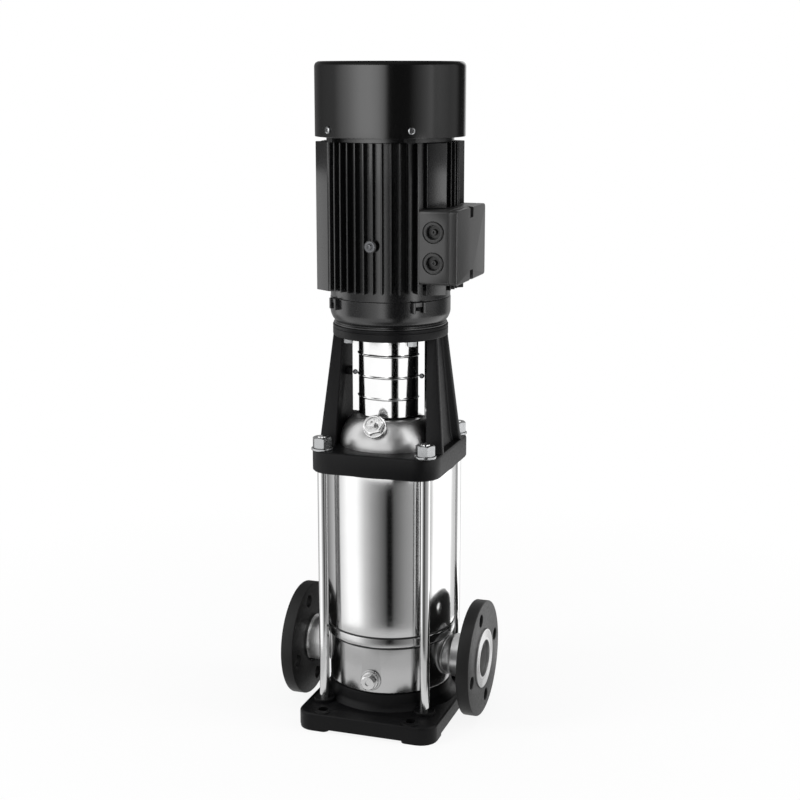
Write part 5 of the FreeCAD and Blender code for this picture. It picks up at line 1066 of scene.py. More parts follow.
def bleed_screw(sizes):
    """Bleed screw standing at the origin: stem, collar, hexagon head and the outlet in its tip."""
    foot = sizes.vent_collar_length + sizes.vent_head + GAP
    stem_foot = foot - 5 * MM
    stem_radius = sizes.vent_spindle / 2
    edge = sizes.vent_spindle_flats / 2
    stem = lathe([
        (0, stem_foot), (stem_radius, stem_foot), (stem_radius, foot), (edge, foot, 2 * HAIR),
        (edge, foot + MM), (0, foot + MM),
    ], steps=SMALL_STEPS)
    grip = shifted(hexagon(sizes.vent_spindle_flats, sizes.vent_spindle_head, False), z=foot + BROKEN)
    top = foot + sizes.vent_spindle_head
    outlet_floor = top - 3 * MM
    outlet = lathe([
        (0, outlet_floor), (1.4 * MM, outlet_floor), (1.8 * MM, top + MM), (0, top + MM),
    ], steps=SMALL_STEPS)
    return combined(combined(stem, grip, "UNION"), outlet)


class PUMP_OT_head(bpy.types.Operator):
    """Bead-blasted bell of the pump head with its seal housing and vent boss"""

    bl_idname = "pump.head"
    bl_label = "Pump head"

    def execute(self, context):
        sizes = context.scene.pump_sizes
        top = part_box("pump_head")[1].z
        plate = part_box("motor_stool")[0].z
        wall = 4 * MM
        step = 1.8 * MM
        radius = sizes.dome_radius
        knee = plate + sizes.dome_straight
        reach = sizes.dome_tangent
        shoulder = top - sizes.dome_drop
        ceiling = shoulder - 6 * MM
        bell = lathe([
            (radius - wall, plate), (radius, plate), (radius, knee + reach, reach, DOME_STEPS),
            (sizes.dome_top, shoulder),
            (sizes.seal_housing + MM, shoulder + step, MM), (sizes.seal_housing, top, ROUNDED),
            (sizes.seal_seat, top, EASED), (sizes.seal_seat, ceiling), (sizes.dome_top - wall, ceiling),
            (radius - wall, knee),
        ])
        boss_radius = sizes.vent_boss / 2
        boss = lathe([
            (0, -wall), (boss_radius, -wall), (boss_radius, sizes.vent_boss_length, MM),
            (0, sizes.vent_boss_length),
        ], vent_foot(sizes), vent_axis(sizes), SMALL_STEPS)
        bell = combined(bell, boss, "UNION")
        piece("blasted_bell", bell, "stainless_matt", "pump", ["pump_head"])
        return {"FINISHED"}


class PUMP_OT_stool(bpy.types.Operator):
    """Cast stool: square plate, two channel legs, guard lugs and the ring under the motor"""

    bl_idname = "pump.stool"
    bl_label = "Motor stool"

    def execute(self, context):
        sizes = context.scene.pump_sizes
        low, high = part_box("motor_stool")
        plate_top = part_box("tie_rod_washers")[0].z
        ring_bottom = high.z - sizes.ring_thickness
        rounding = sizes.plate_round
        plate = prism(oblong(high.x, high.y, sizes.plate_corner), plate_top - low.z, rounding, rounding)
        shifted(plate, z=low.z)
        stool = combined(plate, stool_legs(sizes, plate_top, ring_bottom), "UNION")
        stool = combined(stool, stool_ring(sizes, ring_bottom, high.z), "UNION")
        stool = combined(stool, around(guard_lug(sizes), HALF_TURNS), "UNION")
        clearance = sizes.dome_radius + GAP
        knee = low.z + sizes.dome_straight
        reach = sizes.dome_tangent
        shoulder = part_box("pump_head")[1].z - sizes.dome_drop + BROKEN
        dome = lathe([
            (0, low.z - MM), (clearance, low.z - MM), (clearance, knee + reach, reach, DOME_STEPS),
            (sizes.dome_top + BROKEN, shoulder), (0, shoulder),
        ])
        stool = combined(stool, dome)
        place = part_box("tie_rods")[1].x - sizes.rod_diameter / 2
        hole = bar(sizes.rod_diameter / 2 + GAP, low.z - MM, plate_top + MM, steps=COARSE_STEPS)
        stool = combined(stool, at_corners(hole, place, place))
        piece("cast_stool", stool, "cast_iron_black", "pump", ["motor_stool"], CAST_EDGE)
        bolt_low, bolt_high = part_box("shield_bolts")
        place = bolt_high.x - sizes.motor_bolt_head / 2
        flats = sizes.motor_bolt_head * 0.94
        bolt = hexagon(flats, ring_bottom - bolt_low.z)
        stand(bolt, (0, 0, ring_bottom), (0, 0, -1))
        piece("motor_bolts", at_corners(bolt, place, place), "zinc", "pump", ["shield_bolts"], HEX_EDGE)
        return {"FINISHED"}


def stool_ring(sizes, bottom, top):
    """Ring under the motor, with a shallow turned line near its top."""
    radius = sizes.ring_radius
    line = 0.9 * MM
    upper = top - HAIR
    return lathe([
        (sizes.ring_bore, bottom, MM), (radius, bottom, 2.5 * MM), (radius, top - 5.2 * MM),
        (radius - line, top - 4.6 * MM), (radius - line, top - 3.4 * MM), (radius, top - 2.8 * MM),
        (radius, upper, SOFT), (sizes.ring_bore, upper),
    ])


def stool_legs(sizes, foot, top):
    """Both legs: they flare into the plate and lean in to the ring."""
    inner = sizes.leg_inner_foot
    outer = sizes.leg_outer_foot
    half = sizes.leg_half_foot
    hollow = sizes.leg_hollow_foot
    edge = math.sqrt(sizes.ring_radius ** 2 - sizes.leg_half_top ** 2)
    sections = [
        (foot - MM, inner, outer + MM, half + 3 * MM, hollow),
        (foot + 2 * MM, inner, outer, half + MM, hollow),
        (foot + 12 * MM, inner - 0.4 * MM, outer - 1.6 * MM, half - 1.8 * MM, hollow),
        (top + MM, sizes.leg_inner_top, edge, sizes.leg_half_top, sizes.leg_hollow_top),
    ]
    return around(cast_leg(sections, sizes.leg_rib), HALF_TURNS)


def cast_leg(sections, rib):
    """A channel leg lofted through sections of level, inner face, outer face, half width and hollow."""
    slope = rib * 1.4
    fillet = 2.2 * MM
    shape = bmesh.new()
    loops = []
    for level, inner, outer, half, depth in sections:
        web = outer - depth
        outline = [
            (inner, -half), (outer, -half), (outer, rib - half), (web, slope - half), (web, half - slope),
            (outer, half - rib), (outer, half), (inner, half),
        ]
        verts = [shape.verts.new((x, y, level)) for x, y in outline]
        loops.append([shape.edges.new(pair) for pair in zip(verts, verts[1:] + verts[:1])])
    for first, second in zip(loops, loops[1:]):
        bmesh.ops.bridge_loops(shape, edges=first + second)
    bmesh.ops.holes_fill(shape, edges=shape.edges, sides=0)
    bmesh.ops.recalc_face_normals(shape, faces=shape.faces)
    upright = [edge for edge in shape.edges if abs(edge.verts[0].co.z - edge.verts[1].co.z) > MM]
    round_edges(shape, upright, fillet)
    return shape


def guard_lug(sizes):
    """Lug on the leg at the right that carries the guards' flanges."""
    low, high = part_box("front_guard")
    inner = sizes.guard_screw_reach - 5 * MM
    root = sizes.leg_inner_foot + 3 * MM
    half = sizes.guard_offset - sizes.guard_sheet
    lug = prism([(inner, -half, MM), (root, -half), (root, half), (inner, half, MM)], sizes.guard_lug, MM, MM)
    return shifted(lug, z=(low.z + high.z - sizes.guard_lug) / 2)


class PUMP_OT_guards(bpy.types.Operator):
    """Bright bulged sheet guards with three beads, and their pan head screws"""

    bl_idname = "pump.guards"
    bl_label = "Coupling guards"

    def execute(self, context):
        sizes = context.scene.pump_sizes
        low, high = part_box("front_guard")
        for label, turn in zip(("front_guard", "rear_guard"), HALF_TURNS):
            sheet = around(guard_sheet(sizes, low, high), [turn])
            piece(f"{label}_sheet", sheet, "stainless", "pump", [label], BEAD_EDGE, "mirror_sheet")
        middle = (low.z + high.z) / 2
        heads = []
        for side, face in QUARTERS:
            start = (side * sizes.guard_screw_reach, face * sizes.guard_offset, middle)
            heads.append(pan_head(sizes.guard_screw_head / 2, 2.3 * MM, start, (0, face, 0)))
        piece("guard_screw_heads", joined(*heads), "zinc", "pump", ["guard_screws"], FINE_EDGE, "dark_steel")
        return {"FINISHED"}


def guard_sheet(sizes, low, high):
    """One guard in front: a half round bulge between two flat flanges, beaded and given its thickness."""
    radius = sizes.guard_radius
    offset = sizes.guard_offset
    half_angle = math.acos(offset / radius)
    shape = bmesh.new()
    start = shape.verts.new((-math.sqrt(radius ** 2 - offset ** 2), -offset, low.z))
    bmesh.ops.spin(shape, geom=[start], cent=(0, 0, 0), axis=UP, angle=2 * half_angle, steps=SMALL_STEPS)
    ends = [vert for vert in shape.verts if len(vert.link_edges) == 1]
    for vert in ends:
        flange = shape.verts.new((math.copysign(high.x, vert.co.x), -offset, low.z))
        shape.edges.new((vert, flange))
    edges = shape.edges[:]
    for level, rise in bead_levels(sizes, (low.z + high.z) / 2) + [(high.z, 0)]:
        made = bmesh.ops.extrude_edge_only(shape, edges=edges)["geom"]
        verts = {item for item in made if isinstance(item, bmesh.types.BMVert)}
        lines = [item for item in made if isinstance(item, bmesh.types.BMEdge)]
        edges = [line for line in lines if verts.issuperset(line.verts)]
        for vert in verts:
            vert.co.z = level
            if vert.co.y < -offset - MM:
                stretch = (radius + rise) / math.hypot(vert.co.x, vert.co.y)
                vert.co.x *= stretch
                vert.co.y *= stretch
    bmesh.ops.recalc_face_normals(shape, faces=shape.faces)
    facing = max(shape.faces, key=lambda face: abs(face.normal.y))
    if facing.normal.y > 0:
        bmesh.ops.reverse_faces(shape, faces=shape.faces)
    bmesh.ops.solidify(shape, geom=shape.faces, thickness=sizes.guard_sheet)
    bmesh.ops.recalc_face_normals(shape, faces=shape.faces)
    return shape


def bead_levels(sizes, middle):
    """Levels and rises of the sheet across three beads, with a flat loop on each side of a bead."""
    per_bead = 8
    flat = 5
    levels = []
    for bead in (-1, 0, 1):
        centre = middle + bead * sizes.guard_bead_pitch
        for k in range(-flat, flat + 1):
            rise = sizes.guard_bead * math.cos(k * math.pi / per_bead) ** 2 if abs(k) < per_bead / 2 else 0
            levels.append((centre + k * sizes.guard_bead_width / per_bead, rise))
    return levels


def pan_head(radius, height, start, direction):
    """Pan head of a screw, with a cross recess."""
    shank = radius * 0.6
    edge_round = height * 0.15
    dome = height * 0.7
    half_length = radius * 0.52
    half_width = radius * 0.13
    cross_floor = height * 0.45
    head = lathe([
        (0, -MM), (shank, -MM), (shank, 0), (radius, 0, edge_round), (radius, height, dome), (0, height),
    ], steps=COARSE_STEPS)
    for angle in (0, TURN / 4):
        slot = shifted(prism(oblong(half_length, half_width, 0), height), z=cross_floor)
        head = combined(head, around(slot, [angle]))
    return stand(head, start, direction, CROSS_TURN)


class PUMP_OT_motor(bpy.types.Operator):
    """Motor frame with its fins and rails, end shield with four ears, and the earth screw"""

    bl_idname = "pump.motor"
    bl_label = "Motor"

    def execute(self, context):
        sizes = context.scene.pump_sizes
        low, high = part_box("motor_frame")
        seam = low.z + sizes.seam_lift
        barrel = lathe([
            (sizes.frame_bore, seam), (sizes.frame_radius, seam, MM), (sizes.frame_radius, high.z, MM),
            (sizes.frame_bore, high.z),
        ])
        earth_level = low.z + sizes.earth_rise
        pad_foot = sizes.frame_radius - MM
        pad_radius = sizes.earth_boss / 2
        pad = lathe([
            (0, pad_foot), (pad_radius + MM, pad_foot), (pad_radius, sizes.fin_tip, EASED),
            (0, sizes.fin_tip),
        ], (sizes.earth_side, 0, earth_level), FRONT, SMALL_STEPS)
        shape = joined(barrel, *fins_and_rails(sizes, low, high), pad)
        piece("finned_frame", shape, "aluminium_black", "pump", ["motor_frame"], CAST_EDGE)
        screw = earth_screw(sizes, earth_level)
        piece("earth_screw_head", screw, "zinc", "pump", ["earth_screw"], FINE_EDGE, "dark_steel")
        shield = end_shield(sizes, seam)
        piece("waisted_end_shield", shield, "aluminium_black", "pump", ["drive_end_shield"], CAST_EDGE)
        return {"FINISHED"}


def fins_and_rails(sizes, low, high):
    """Four groups of fins and four rails; those at the right leave room for the terminal box."""
    box_low, box_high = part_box("terminal_box")
    foot = low.z + sizes.fin_start
    top = high.z - BROKEN
    whole = [(foot, top)]
    split = [(foot, box_low.z - EASED), (box_high.z + EASED, top)]
    shapes = []
    # Middle of each group in degrees, its number of fins, and the heights that they span
    for centre, count, spans in ((270, 12, whole), (90, 12, whole), (0, 6, split), (180, 6, whole)):
        angles = [math.radians(centre) + (k - (count - 1) / 2) * sizes.fin_step for k in range(count)]
        for bottom, end in spans:
            shapes.append(around(cooling_fin(sizes, bottom, end), angles))
    for x, y in QUARTERS:
        for bottom, end in split if x > 0 else whole:
            start = low.z + sizes.rail_start if bottom == foot else bottom
            shapes.append(flat_rail(sizes, x, y, start, end))
    return shapes


def cooling_fin(sizes, bottom, top):
    """One fin at the right of the frame, thinner at its tip."""
    root = sizes.frame_radius - MM
    tip = sizes.fin_tip
    half_tip = sizes.fin_thickness / 2
    half_root = half_tip * 1.4
    corner = 0.7 * MM
    outline = [(root, -half_root), (tip, -half_tip, corner), (tip, half_tip, corner), (root, half_root)]
    return shifted(prism(outline, top - bottom), z=bottom)


def flat_rail(sizes, across, up, bottom, top):
    """Flat rail between two groups of fins."""
    near_x, near_y = sizes.rail_near_x, sizes.rail_near_y
    far_x, far_y = sizes.rail_far_x, sizes.rail_far_y
    depth = 14 * MM
    outline = [
        (near_x - depth, near_y - depth / 2), (near_x, near_y, ROUNDED), (far_x, far_y, ROUNDED),
        (far_x - depth, far_y - depth),
    ]
    rail = prism([(across * x, up * y, *corner) for x, y, *corner in outline], top - bottom, SOFT, SOFT)
    bmesh.ops.recalc_face_normals(rail, faces=rail.faces)
    return shifted(rail, z=bottom)


def earth_screw(sizes, level):
    """Earth screw's head on its dished washer, in front of the pad."""
    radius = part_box("earth_screw")[1].x - sizes.earth_side
    edge_top = 1.6 * MM
    washer_top = 2.2 * MM
    washer = lathe([
        (0, 0), (radius, 0, FINE), (radius, edge_top, EASED), (radius * 0.72, edge_top),
        (radius * 0.68, washer_top), (0, washer_top),
    ], (sizes.earth_side, -sizes.fin_tip, level), FRONT, SMALL_STEPS)
    start = (sizes.earth_side, HAIR - sizes.fin_tip - washer_top, level)
    return joined(washer, pan_head(radius * 0.55, 3 * MM, start, FRONT))


def end_shield(sizes, seam):
    """End shield: a waist that widens to a bowl under the frame, and four ears."""
    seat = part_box("motor_stool")[1].z
    lip_top = seat + 2.4 * MM
    neck = sizes.shield_neck
    neck_foot = seat + 3 * MM
    neck_top = seat + 5.2 * MM
    wide = sizes.shield_radius
    bowl_top = seat + 12 * MM
    rim = seam - HAIR
    shield = lathe([
        (sizes.ring_bore, seat), (sizes.ring_radius - 1.6 * MM, seat, EASED),
        (sizes.ring_radius - MM, lip_top, EASED), (neck, neck_foot, SOFT), (neck + EASED, neck_top, MM),
        (wide, bowl_top, 7.6 * MM, BOWL_STEPS), (wide, seam - EASED, SOFT), (wide - MM, rim),
        (sizes.frame_bore, rim), (sizes.frame_bore, seat + 20 * MM),
    ])
    eighth = TURN / 8
    return joined(shield, around(shield_ear(sizes, seam), [eighth + k * TURN / 4 for k in range(4)]))


def shield_ear(sizes, seam):
    """One ear at the right: a low web between two ribs, with a bolt's head under it."""
    half = sizes.ear_width / 2
    half_rib = 2.2 * MM
    rib_depth = 9 * MM
    rib = prism(oblong(rib_depth, half_rib, ROUNDED), sizes.ear_height, SOFT, 2 * MM)
    shifted(rib, sizes.ear_reach - rib_depth, 0, seam - sizes.ear_height)
    ribs = at_places(rib, [(0, half_rib - half, 0), (0, half - half_rib, 0)])
    web_height = sizes.ear_height * 0.45
    web = prism(oblong(7 * MM, half - MM, MM), web_height, MM, MM)
    shifted(web, sizes.ear_reach - 9.5 * MM, 0, seam - web_height)
    bolt_height = 5 * MM
    bolt = hexagon(7.5 * MM, bolt_height)
    shifted(bolt, sizes.ear_reach - 6.5 * MM, 0, seam - web_height - bolt_height)
    return joined(ribs, web, bolt)


class PUMP_OT_fan_cover(bpy.types.Operator):
    """Drawn sheet fan cover with its slotted grille and four bright screws"""

    bl_idname = "pump.fan_cover"
    bl_label = "Fan cover"

    def execute(self, context):
        sizes = context.scene.pump_sizes
        low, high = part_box("fan_cover")
        radius = high.x
        sheet = sizes.cover_sheet
        inner = radius - sheet
        under = high.z - sheet
        cover = lathe([
            (inner, low.z), (radius, low.z, FINE), (radius, high.z, sizes.cover_round, BEND_STEPS),
            (0, high.z), (0, under), (inner, under, sizes.cover_round - sheet, BEND_STEPS),
        ], steps=COVER_STEPS)
        half_bar = sizes.grille_bar / 2
        slots = []
        # Start, end and number of the slots of each row
        for near, far, count in (
            (sizes.grille_start, sizes.grille_middle - half_bar, 16),
            (sizes.grille_middle + half_bar, radius - sizes.cover_round - sizes.grille_bar, 32),
        ):
            half = sizes.grille_slot / 2
            slot = prism(oblong((far - near) / 2, half, half * 0.95), 4 * sheet)
            shifted(slot, (far + near) / 2, 0, high.z - 3 * sheet)
            slots.append(around(slot, [k * TURN / count for k in range(count)]))
        cover = combined(cover, joined(*slots))
        piece("slotted_fan_cover", cover, "steel_black", "pump", ["fan_cover"], FINE_EDGE)
        heads = []
        screw_low, screw_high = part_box("fan_cover_screws")
        level = (screw_low.z + screw_high.z) / 2
        for face, side in QUARTERS:
            angle = face * TURN / 4 + side * sizes.cover_screw_turn
            way = Vector((math.cos(angle), math.sin(angle), 0))
            start = way * (radius + HAIR) + UP * level
            heads.append(pan_head(sizes.cover_screw_head / 2, 2.8 * MM, start, way))
        piece("cover_screw_heads", joined(*heads), "zinc", "pump", ["fan_cover_screws"], FINE_EDGE)
        return {"FINISHED"}


class PUMP_OT_terminal_box(bpy.types.Operator):
    """Terminal box with its cover, gasket, cover screws and blanked cable entries"""

    bl_idname = "pump.terminal_box"
    bl_label = "Terminal box"

    def execute(self, context):
        sizes = context.scene.pump_sizes
        low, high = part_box("terminal_box")
        middle = (low.z + high.z) / 2
        tall = (high.z - low.z) / 2
        body = prism(oblong(high.y, tall, sizes.box_corner), high.x - low.x, SOFT)
        stand(body, (low.x, 0, middle), RIGHT)
        body = combined(body, bar(sizes.frame_radius + GAP, low.z - MM, high.z + MM, steps=ROUND_STEPS))
        plugs = []
        for way in SIDES:
            start = (sizes.gland_reach, 0, middle + way * sizes.gland_spacing / 2)
            body = combined(body, entry_recess(sizes, high.y, start))
            plugs.append(entry_plug(sizes, high.y - sizes.gland_depth, start))
        piece(
            "cast_terminal_box", body, "aluminium_black", "pump", ["terminal_box"], FINE_EDGE, "box_enamel",
        )
        piece("entry_plugs", joined(*plugs), "plastic_black", "pump", ["gland_plugs"], FINE_EDGE)
        seam_low, seam_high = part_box("terminal_box_gasket")
        half_seam = (seam_high.z - seam_low.z) / 2
        gasket = prism(oblong(seam_high.y, half_seam, sizes.box_corner), seam_high.x - seam_low.x)
        stand(gasket, (seam_low.x, 0, middle), RIGHT)
        piece("seam_gasket", gasket, "rubber", "pump", ["terminal_box_gasket"])
        lid_low, lid_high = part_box("terminal_box_cover")
        thickness = lid_high.x - lid_low.x
        lid = prism(oblong(high.y, tall, sizes.box_corner), thickness, 2.2 * MM)
        stand(lid, (lid_low.x, 0, middle), RIGHT)
        screw = sizes.box_screw_head / 2
        screw_seat = lid_low.x + 4 * MM
        heads = []
        for way in SIDES:
            notch = prism(oblong(screw + 3 * MM, screw + 4.5 * MM, 1.5 * MM), thickness)
            stand(notch, (screw_seat, 0, middle + way * (tall - 5 * MM)), RIGHT)
            lid = combined(lid, notch)
            start = (screw_seat, 0, middle + way * (tall - sizes.box_screw_inset))
            heads.append(pan_head(screw, 3.8 * MM, start, RIGHT))
        piece("box_cover", lid, "aluminium_black", "pump", ["terminal_box_cover"], FINE_EDGE, "box_enamel")
        heads = joined(*heads)
        piece("box_screw_heads", heads, "zinc", "pump", ["terminal_box_screws"], FINE_EDGE, "dark_steel")
        return {"FINISHED"}


def entry_recess(sizes, face, start):
    """What a cable entry takes from the box: a shallow turned face and the hole in it."""
    hole = sizes.gland_hole / 2
    recess = sizes.gland_recess / 2
    inside = face - 10 * MM
    floor = face - sizes.gland_depth
    return lathe([
        (0, inside), (hole, inside), (hole, floor), (recess, floor, FINE), (recess + EASED, face + MM),
        (0, face + MM),
    ], start, FRONT, SMALL_STEPS)


def entry_plug(sizes, floor, start):
    """Blanking plug: a brim round a well, with a dimpled stub in its middle."""
    edge = sizes.gland_recess / 2 - MM
    well = sizes.gland_hole / 2 - 3.8 * MM
    outside = well + 3.4 * MM
    back = floor - 7.5 * MM
    brim = floor + 2.2 * MM
    well_floor = floor - 5.5 * MM
    stub_top = floor - MM
    dimple_floor = floor - 3 * MM
    return lathe([
        (0, back), (outside, back), (outside, floor), (edge, floor), (edge, brim, SOFT),
        (well + SOFT, brim, SOFT), (well, well_floor), (4.2 * MM, well_floor), (3.6 * MM, stub_top, EASED),
        (1.5 * MM, stub_top, GAP), (1.2 * MM, dimple_floor), (0, dimple_floor),
    ], start, FRONT, SMALL_STEPS)


class PUMP_OT_frame_finishes(bpy.types.Operator):
    """Finishes of the nodes that keep the frame's own shape"""

    bl_idname = "pump.frame_finishes"
    bl_label = "Frame finishes"

    def execute(self, context):
        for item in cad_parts.values():
            for place in item.material_slots:
                slot = place.material.name.split(".")[0] if place.material else ""
                if slot in finishes():
                    place.link = "OBJECT"
                    place.material = finishes()[slot]
        return {"FINISHED"}


# Studio


class PUMP_OT_stage(bpy.types.Operator):
    """White floor, soft lamps, a reflection tent and the camera"""

    bl_idname = "pump.stage"
    bl_label = "Stage"

    def execute(self, context):
        scene = context.scene
        scene.view_settings.view_transform = "Standard"
        floor_disc(FLOOR_RADIUS)
        for name, bottom, top, levels in TENT_BANDS:
            tent_band(name, bottom, top, levels)
        tent_lid()
        ambient_world(scene)
        soft_lamps(scene)
        studio_camera(scene)
        return {"FINISHED"}


def floor_disc(radius):
    """Round white floor that keeps the pump's shadow and fades to plain white away from it."""
    shape = bmesh.new()
    bmesh.ops.create_circle(shape, cap_ends=True, radius=radius, segments=SMALL_STEPS)
    floor = stage_object("studio_floor", shape)
    tree = stage_material(floor, "white_floor")
    place = coordinates(tree)
    grit = grains(tree, place, 25, 2)
    white = shades(tree, grit, (0.9, 0.9, 0.9), 0.99, 1.01)
    paint = add_node(tree, "ShaderNodeBsdfDiffuse", {"Color": white})
    glow = add_node(tree, "ShaderNodeEmission", {"Color": WHITE, "Strength": 1})
    away = add_node(tree, "ShaderNodeVectorMath", {0: place}, operation="LENGTH")
    inputs = {"Value": away.outputs["Value"], "From Min": 0.25, "From Max": 1.1, "To Min": 0.88, "To Max": 1}
    fade = add_node(tree, "ShaderNodeMapRange", inputs).outputs["Result"]
    share = add_node(tree, "ShaderNodeMath", {0: seen(tree), 1: fade}, operation="MULTIPLY")
    inputs = {0: share.outputs[0], 1: paint.outputs[0], 2: glow.outputs[0]}
    mixed = add_node(tree, "ShaderNodeMixShader", inputs)
    add_node(tree, "ShaderNodeOutputMaterial", {"Surface": mixed.outputs[0]})
    return floor


def seen(tree):
    """One where a ray comes from the camera, a reflection or glass, and nought elsewhere."""
    ray = add_node(tree, "ShaderNodeLightPath").outputs
    inputs = {0: ray["Is Camera Ray"], 1: ray["Is Glossy Ray"]}
    shown = add_node(tree, "ShaderNodeMath", inputs, operation="MAXIMUM")
    inputs = {0: shown.outputs[0], 1: ray["Is Transmission Ray"]}
    return add_node(tree, "ShaderNodeMath", inputs, operation="MAXIMUM").outputs[0]


def stage_object(name, shape):
    """A piece of the studio, from its shape."""
    mesh = bpy.data.meshes.new(name)
    shape.to_mesh(mesh)
    shape.free()
    item = bpy.data.objects.new(name, mesh)
    bpy.context.scene.collection.objects.link(item)
    return item


def stage_material(item, name):
    """An empty node tree for a piece of the studio."""
    material = bpy.data.materials.new(name)
    material.use_nodes = True
    material.node_tree.nodes.clear()
    item.data.materials.append(material)
    return material.node_tree


def only_reflected(item):
    """Show a piece of the studio in reflections alone."""
    item.visible_camera = False
    item.visible_diffuse = False
    item.visible_transmission = False
    item.visible_shadow = False
    item.visible_volume_scatter = False


def tent_band(name, bottom, top, levels):
    """One round band of the reflection tent: bright panels with dark gaps between them."""
    shape = bmesh.new()
    bmesh.ops.create_cone(
        shape, cap_ends=False, segments=ROUND_STEPS, radius1=TENT_RADIUS, radius2=TENT_RADIUS,
        depth=top - bottom,
    )
    band = stage_object(name, shifted(shape, z=(top + bottom) / 2))
    only_reflected(band)
    tree = stage_material(band, f"{name}_panels")
    source = add_node(tree, "ShaderNodeTexCoord")
    split = add_node(tree, "ShaderNodeSeparateXYZ", {"Vector": source.outputs["Object"]})
    across = add_node(tree, "ShaderNodeMath", {0: split.outputs["Y"], 1: -1.0}, operation="MULTIPLY")
    inputs = {0: split.outputs["X"], 1: across.outputs[0]}
    bearing = add_node(tree, "ShaderNodeMath", inputs, operation="ARCTAN2").outputs[0]
    inputs = {"Value": bearing, "From Min": -math.pi, "From Max": math.pi, "To Min": 0.0, "To Max": 1.0}
    turn = add_node(tree, "ShaderNodeMapRange", inputs)
    ramp = add_node(tree, "ShaderNodeValToRGB", {"Fac": turn.outputs["Result"]})
    stops = ramp.color_ramp.elements
    for degrees, level in levels:
        stops.new((degrees + 180) / 360).color = (level, level, level, 1)
    stops.remove(stops[0])
    stops.remove(stops[-1])
    glow = add_node(tree, "ShaderNodeEmission", {"Color": ramp.outputs["Color"], "Strength": PANEL_LEVEL})
    add_node(tree, "ShaderNodeOutputMaterial", {"Surface": glow.outputs[0]})
    return band


def tent_lid():
    """Dim ceiling over the reflection tent."""
    shape = bmesh.new()
    bmesh.ops.create_circle(shape, cap_ends=True, radius=TENT_RADIUS, segments=ROUND_STEPS)
    lid = stage_object("tent_lid", shifted(shape, z=TENT_TOP))
    only_reflected(lid)
    tree = stage_material(lid, "tent_lid_grey")
    glow = add_node(tree, "ShaderNodeEmission", {"Color": WHITE, "Strength": LID_LEVEL})
    add_node(tree, "ShaderNodeOutputMaterial", {"Surface": glow.outputs[0]})
    return lid


WHITE = (1, 1, 1, 1)
FLOOR_RADIUS = 9
TENT_RADIUS = 0.26
TENT_TOP = 1.5
PANEL_LEVEL = 4
LID_LEVEL = 0.1
ROOM_LEVEL = 0.5
# Name, foot and top of each band, and its share of the panels' level by bearing in degrees from the
# pump's front towards the outlet
TENT_BANDS = (
    # Dim, with a soft panel behind: the base's edges and the ports' undersides
    ("foot_band", 0, 0.05, (
        (-179, 0.1), (-120, 0.02), (-85, 0.02), (-72, 0.2), (50, 0.2), (62, 0.015), (112, 0.015), (124, 0.4),
        (170, 0.4), (179, 0.1),
    )),
    # A bright strip left of the middle, a dark line right of it and a strip at the outlet: sleeve and ports
    ("sleeve_band", 0.05, 0.352, (
        (-179, 0.1), (-150, 0.05), (-115, 0.04), (-90, 0.15), (-66, 0.28), (-50, 0.42), (-33, 0.42),
        (-20, 0.22), (-8, 0.12), (4, 0.06), (11, 0.03), (14, 0.0), (20, 0.0), (23, 0.035), (40, 0.1),
        (60, 0.15), (82, 0.2), (88, 0.5), (128, 0.5), (140, 0.25), (179, 0.1),
    )),
    # Even and bright all round, with one dark gap: the guards and the head
    ("guard_band", 0.352, 0.508, (
        (-179, 0.1), (-92, 0.1), (-82, 0.4), (20, 0.42), (22, 0.0), (43, 0.0), (45, 0.42), (135, 0.42),
        (150, 0.1), (179, 0.1),
    )),
    # Panels by each rail, dark between them: the flats of the frame's rails and the fins' tips
    ("frame_band", 0.508, 0.785, (
        (-179, 0.05), (-95, 0.15), (-88, 0.48), (-62, 0.48), (-55, 0.06), (-30, 0.12), (-14, 0.35),
        (-3, 0.45), (3, 0.75), (9, 0.8), (12, 0.2), (16, 0.0), (36, 0.0), (50, 0.08), (54, 0.95),
        (62, 1.1), (66, 0.2), (100, 0.05), (128, 0.05), (131, 0.06), (141, 0.18), (160, 0.15),
        (179, 0.05),
    )),
    # A broad panel left of the middle and a narrow one at the right: the round fan cover
    ("cowl_band", 0.785, 1.0, (
        (-179, 0.05), (-90, 0.04), (-56, 0.13), (-35, 0.5), (-18, 0.95), (-6, 1.0), (4, 0.85), (12, 0.5),
        (16.5, 0.01), (42, 0.015), (68, 0.3), (72, 0.32), (75, 0.15), (115, 0.1), (126, 0.01), (146, 0.01),
        (160, 0.3), (179, 0.1),
    )),
    # Nearly dark: the top of the fan cover stays black
    ("upper_band", 1.0, TENT_TOP, ((-179, 0.02), (-60, 0.03), (-20, 0.08), (20, 0.02), (179, 0.02))),
)


def ambient_world(scene):
    """Even pale surroundings: white to the camera and in reflections, a plain level elsewhere."""
    world = bpy.data.worlds.new("studio_world")
    world.use_nodes = True
    scene.world = world
    tree = world.node_tree
    tree.nodes.clear()
    soft = add_node(tree, "ShaderNodeBackground", {"Color": WHITE, "Strength": ROOM_LEVEL})
    white = add_node(tree, "ShaderNodeBackground", {"Color": WHITE, "Strength": 1})
    mixed = add_node(tree, "ShaderNodeMixShader", {0: seen(tree), 1: soft.outputs[0], 2: white.outputs[0]})
    add_node(tree, "ShaderNodeOutputWorld", {"Surface": mixed.outputs[0]})


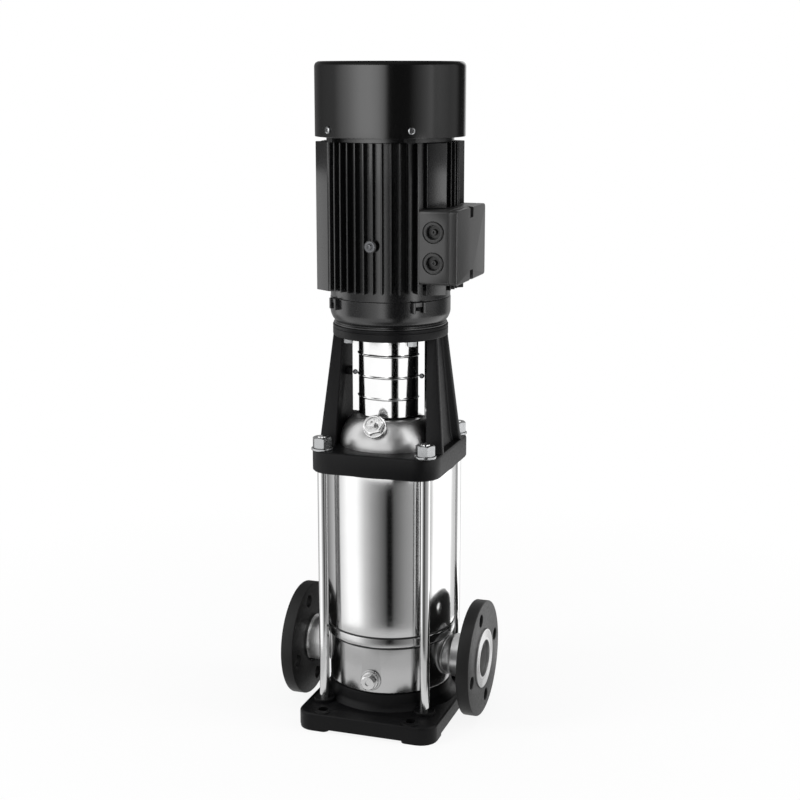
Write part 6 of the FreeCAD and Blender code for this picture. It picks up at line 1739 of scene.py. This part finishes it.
def soft_lamps(scene):
    """Two tall soft boxes in front and one panel overhead."""
    # Name, bearing in degrees, reach, height, width and length in metres, power in watts
    boxes = (
        ("left_softbox", -50, 1.9, 1.2, 0.7, 1.6, 20),
        ("right_softbox", 95, 1.8, 1.0, 0.6, 1.6, 16),
        ("top_panel", 18, 0.7, 2.6, 1.4, 1.4, 9),
    )
    pump_middle = Vector((0, 0, 0.5))
    for name, bearing, reach, height, width, length, power in boxes:
        lamp = bpy.data.lights.new(name, "AREA")
        lamp.shape = "RECTANGLE"
        lamp.size = width
        lamp.size_y = length
        lamp.energy = power
        item = bpy.data.objects.new(name, lamp)
        angle = math.radians(bearing)
        item.location = (reach * math.sin(angle), -reach * math.cos(angle), height)
        aim = pump_middle - item.location
        item.rotation_mode = "QUATERNION"
        item.rotation_quaternion = aim.to_track_quat("-Z", "Y")
        scene.collection.objects.link(item)


def studio_camera(scene):
    """Camera at the photograph's place and angle."""
    studio = scene.pump_studio
    camera = bpy.data.cameras.new("photo_camera")
    camera.lens = studio.focal_length
    camera.sensor_width = 36
    camera.clip_start = 0.01
    item = bpy.data.objects.new("photo_camera", camera)
    item.location = (
        math.sin(studio.azimuth) * studio.reach, -math.cos(studio.azimuth) * studio.reach, studio.height
    )
    bearing = studio.azimuth + studio.pan
    level = math.cos(studio.tilt)
    forward = Vector((-math.sin(bearing) * level, math.cos(bearing) * level, -math.sin(studio.tilt)))
    item.rotation_mode = "QUATERNION"
    item.rotation_quaternion = forward.to_track_quat("-Z", "Y")
    scene.collection.objects.link(item)
    scene.camera = item


class PUMP_PT_pieces(bpy.types.Panel):
    """Lists the pump's sizes, finishes and pieces"""

    bl_label = "Vertical pump"
    bl_idname = "PUMP_PT_pieces"
    bl_space_type = "VIEW_3D"
    bl_region_type = "UI"
    bl_category = "Pump"

    def draw(self, context):
        for operator in OPERATORS:
            self.layout.operator(operator.bl_idname)
        for group in (context.scene.pump_sizes, context.scene.pump_finishes, context.scene.pump_studio):
            for name in group.bl_rna.properties.keys():
                if name not in ("rna_type", "name"):
                    self.layout.prop(group, name)


GROUPS = (("pump_sizes", PumpSizes), ("pump_finishes", PumpFinishes), ("pump_studio", StudioSettings))
OPERATORS = (
    PUMP_OT_stage, PUMP_OT_frame_finishes, PUMP_OT_base, PUMP_OT_chamber, PUMP_OT_ports, PUMP_OT_sleeve,
    PUMP_OT_tie_rods, PUMP_OT_plugs, PUMP_OT_head, PUMP_OT_stool, PUMP_OT_guards, PUMP_OT_motor,
    PUMP_OT_fan_cover, PUMP_OT_terminal_box,
)


def register():
    """Register the settings, the operators and the panel."""
    for name, group in GROUPS:
        bpy.utils.register_class(group)
        setattr(bpy.types.Scene, name, PointerProperty(type=group))
    for operator in OPERATORS:
        bpy.utils.register_class(operator)
    bpy.utils.register_class(PUMP_PT_pieces)


def unregister():
    """Remove the panel, the operators and the settings."""
    bpy.utils.unregister_class(PUMP_PT_pieces)
    for operator in reversed(OPERATORS):
        bpy.utils.unregister_class(operator)
    for name, group in reversed(GROUPS):
        delattr(bpy.types.Scene, name)
        bpy.utils.unregister_class(group)


def main():
    """Dress the whole pump."""
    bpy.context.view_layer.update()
    register()
    for operator in OPERATORS:
        group, name = operator.bl_idname.split(".")
        getattr(getattr(bpy.ops, group), name)()


if __name__ == "__main__":
    main()
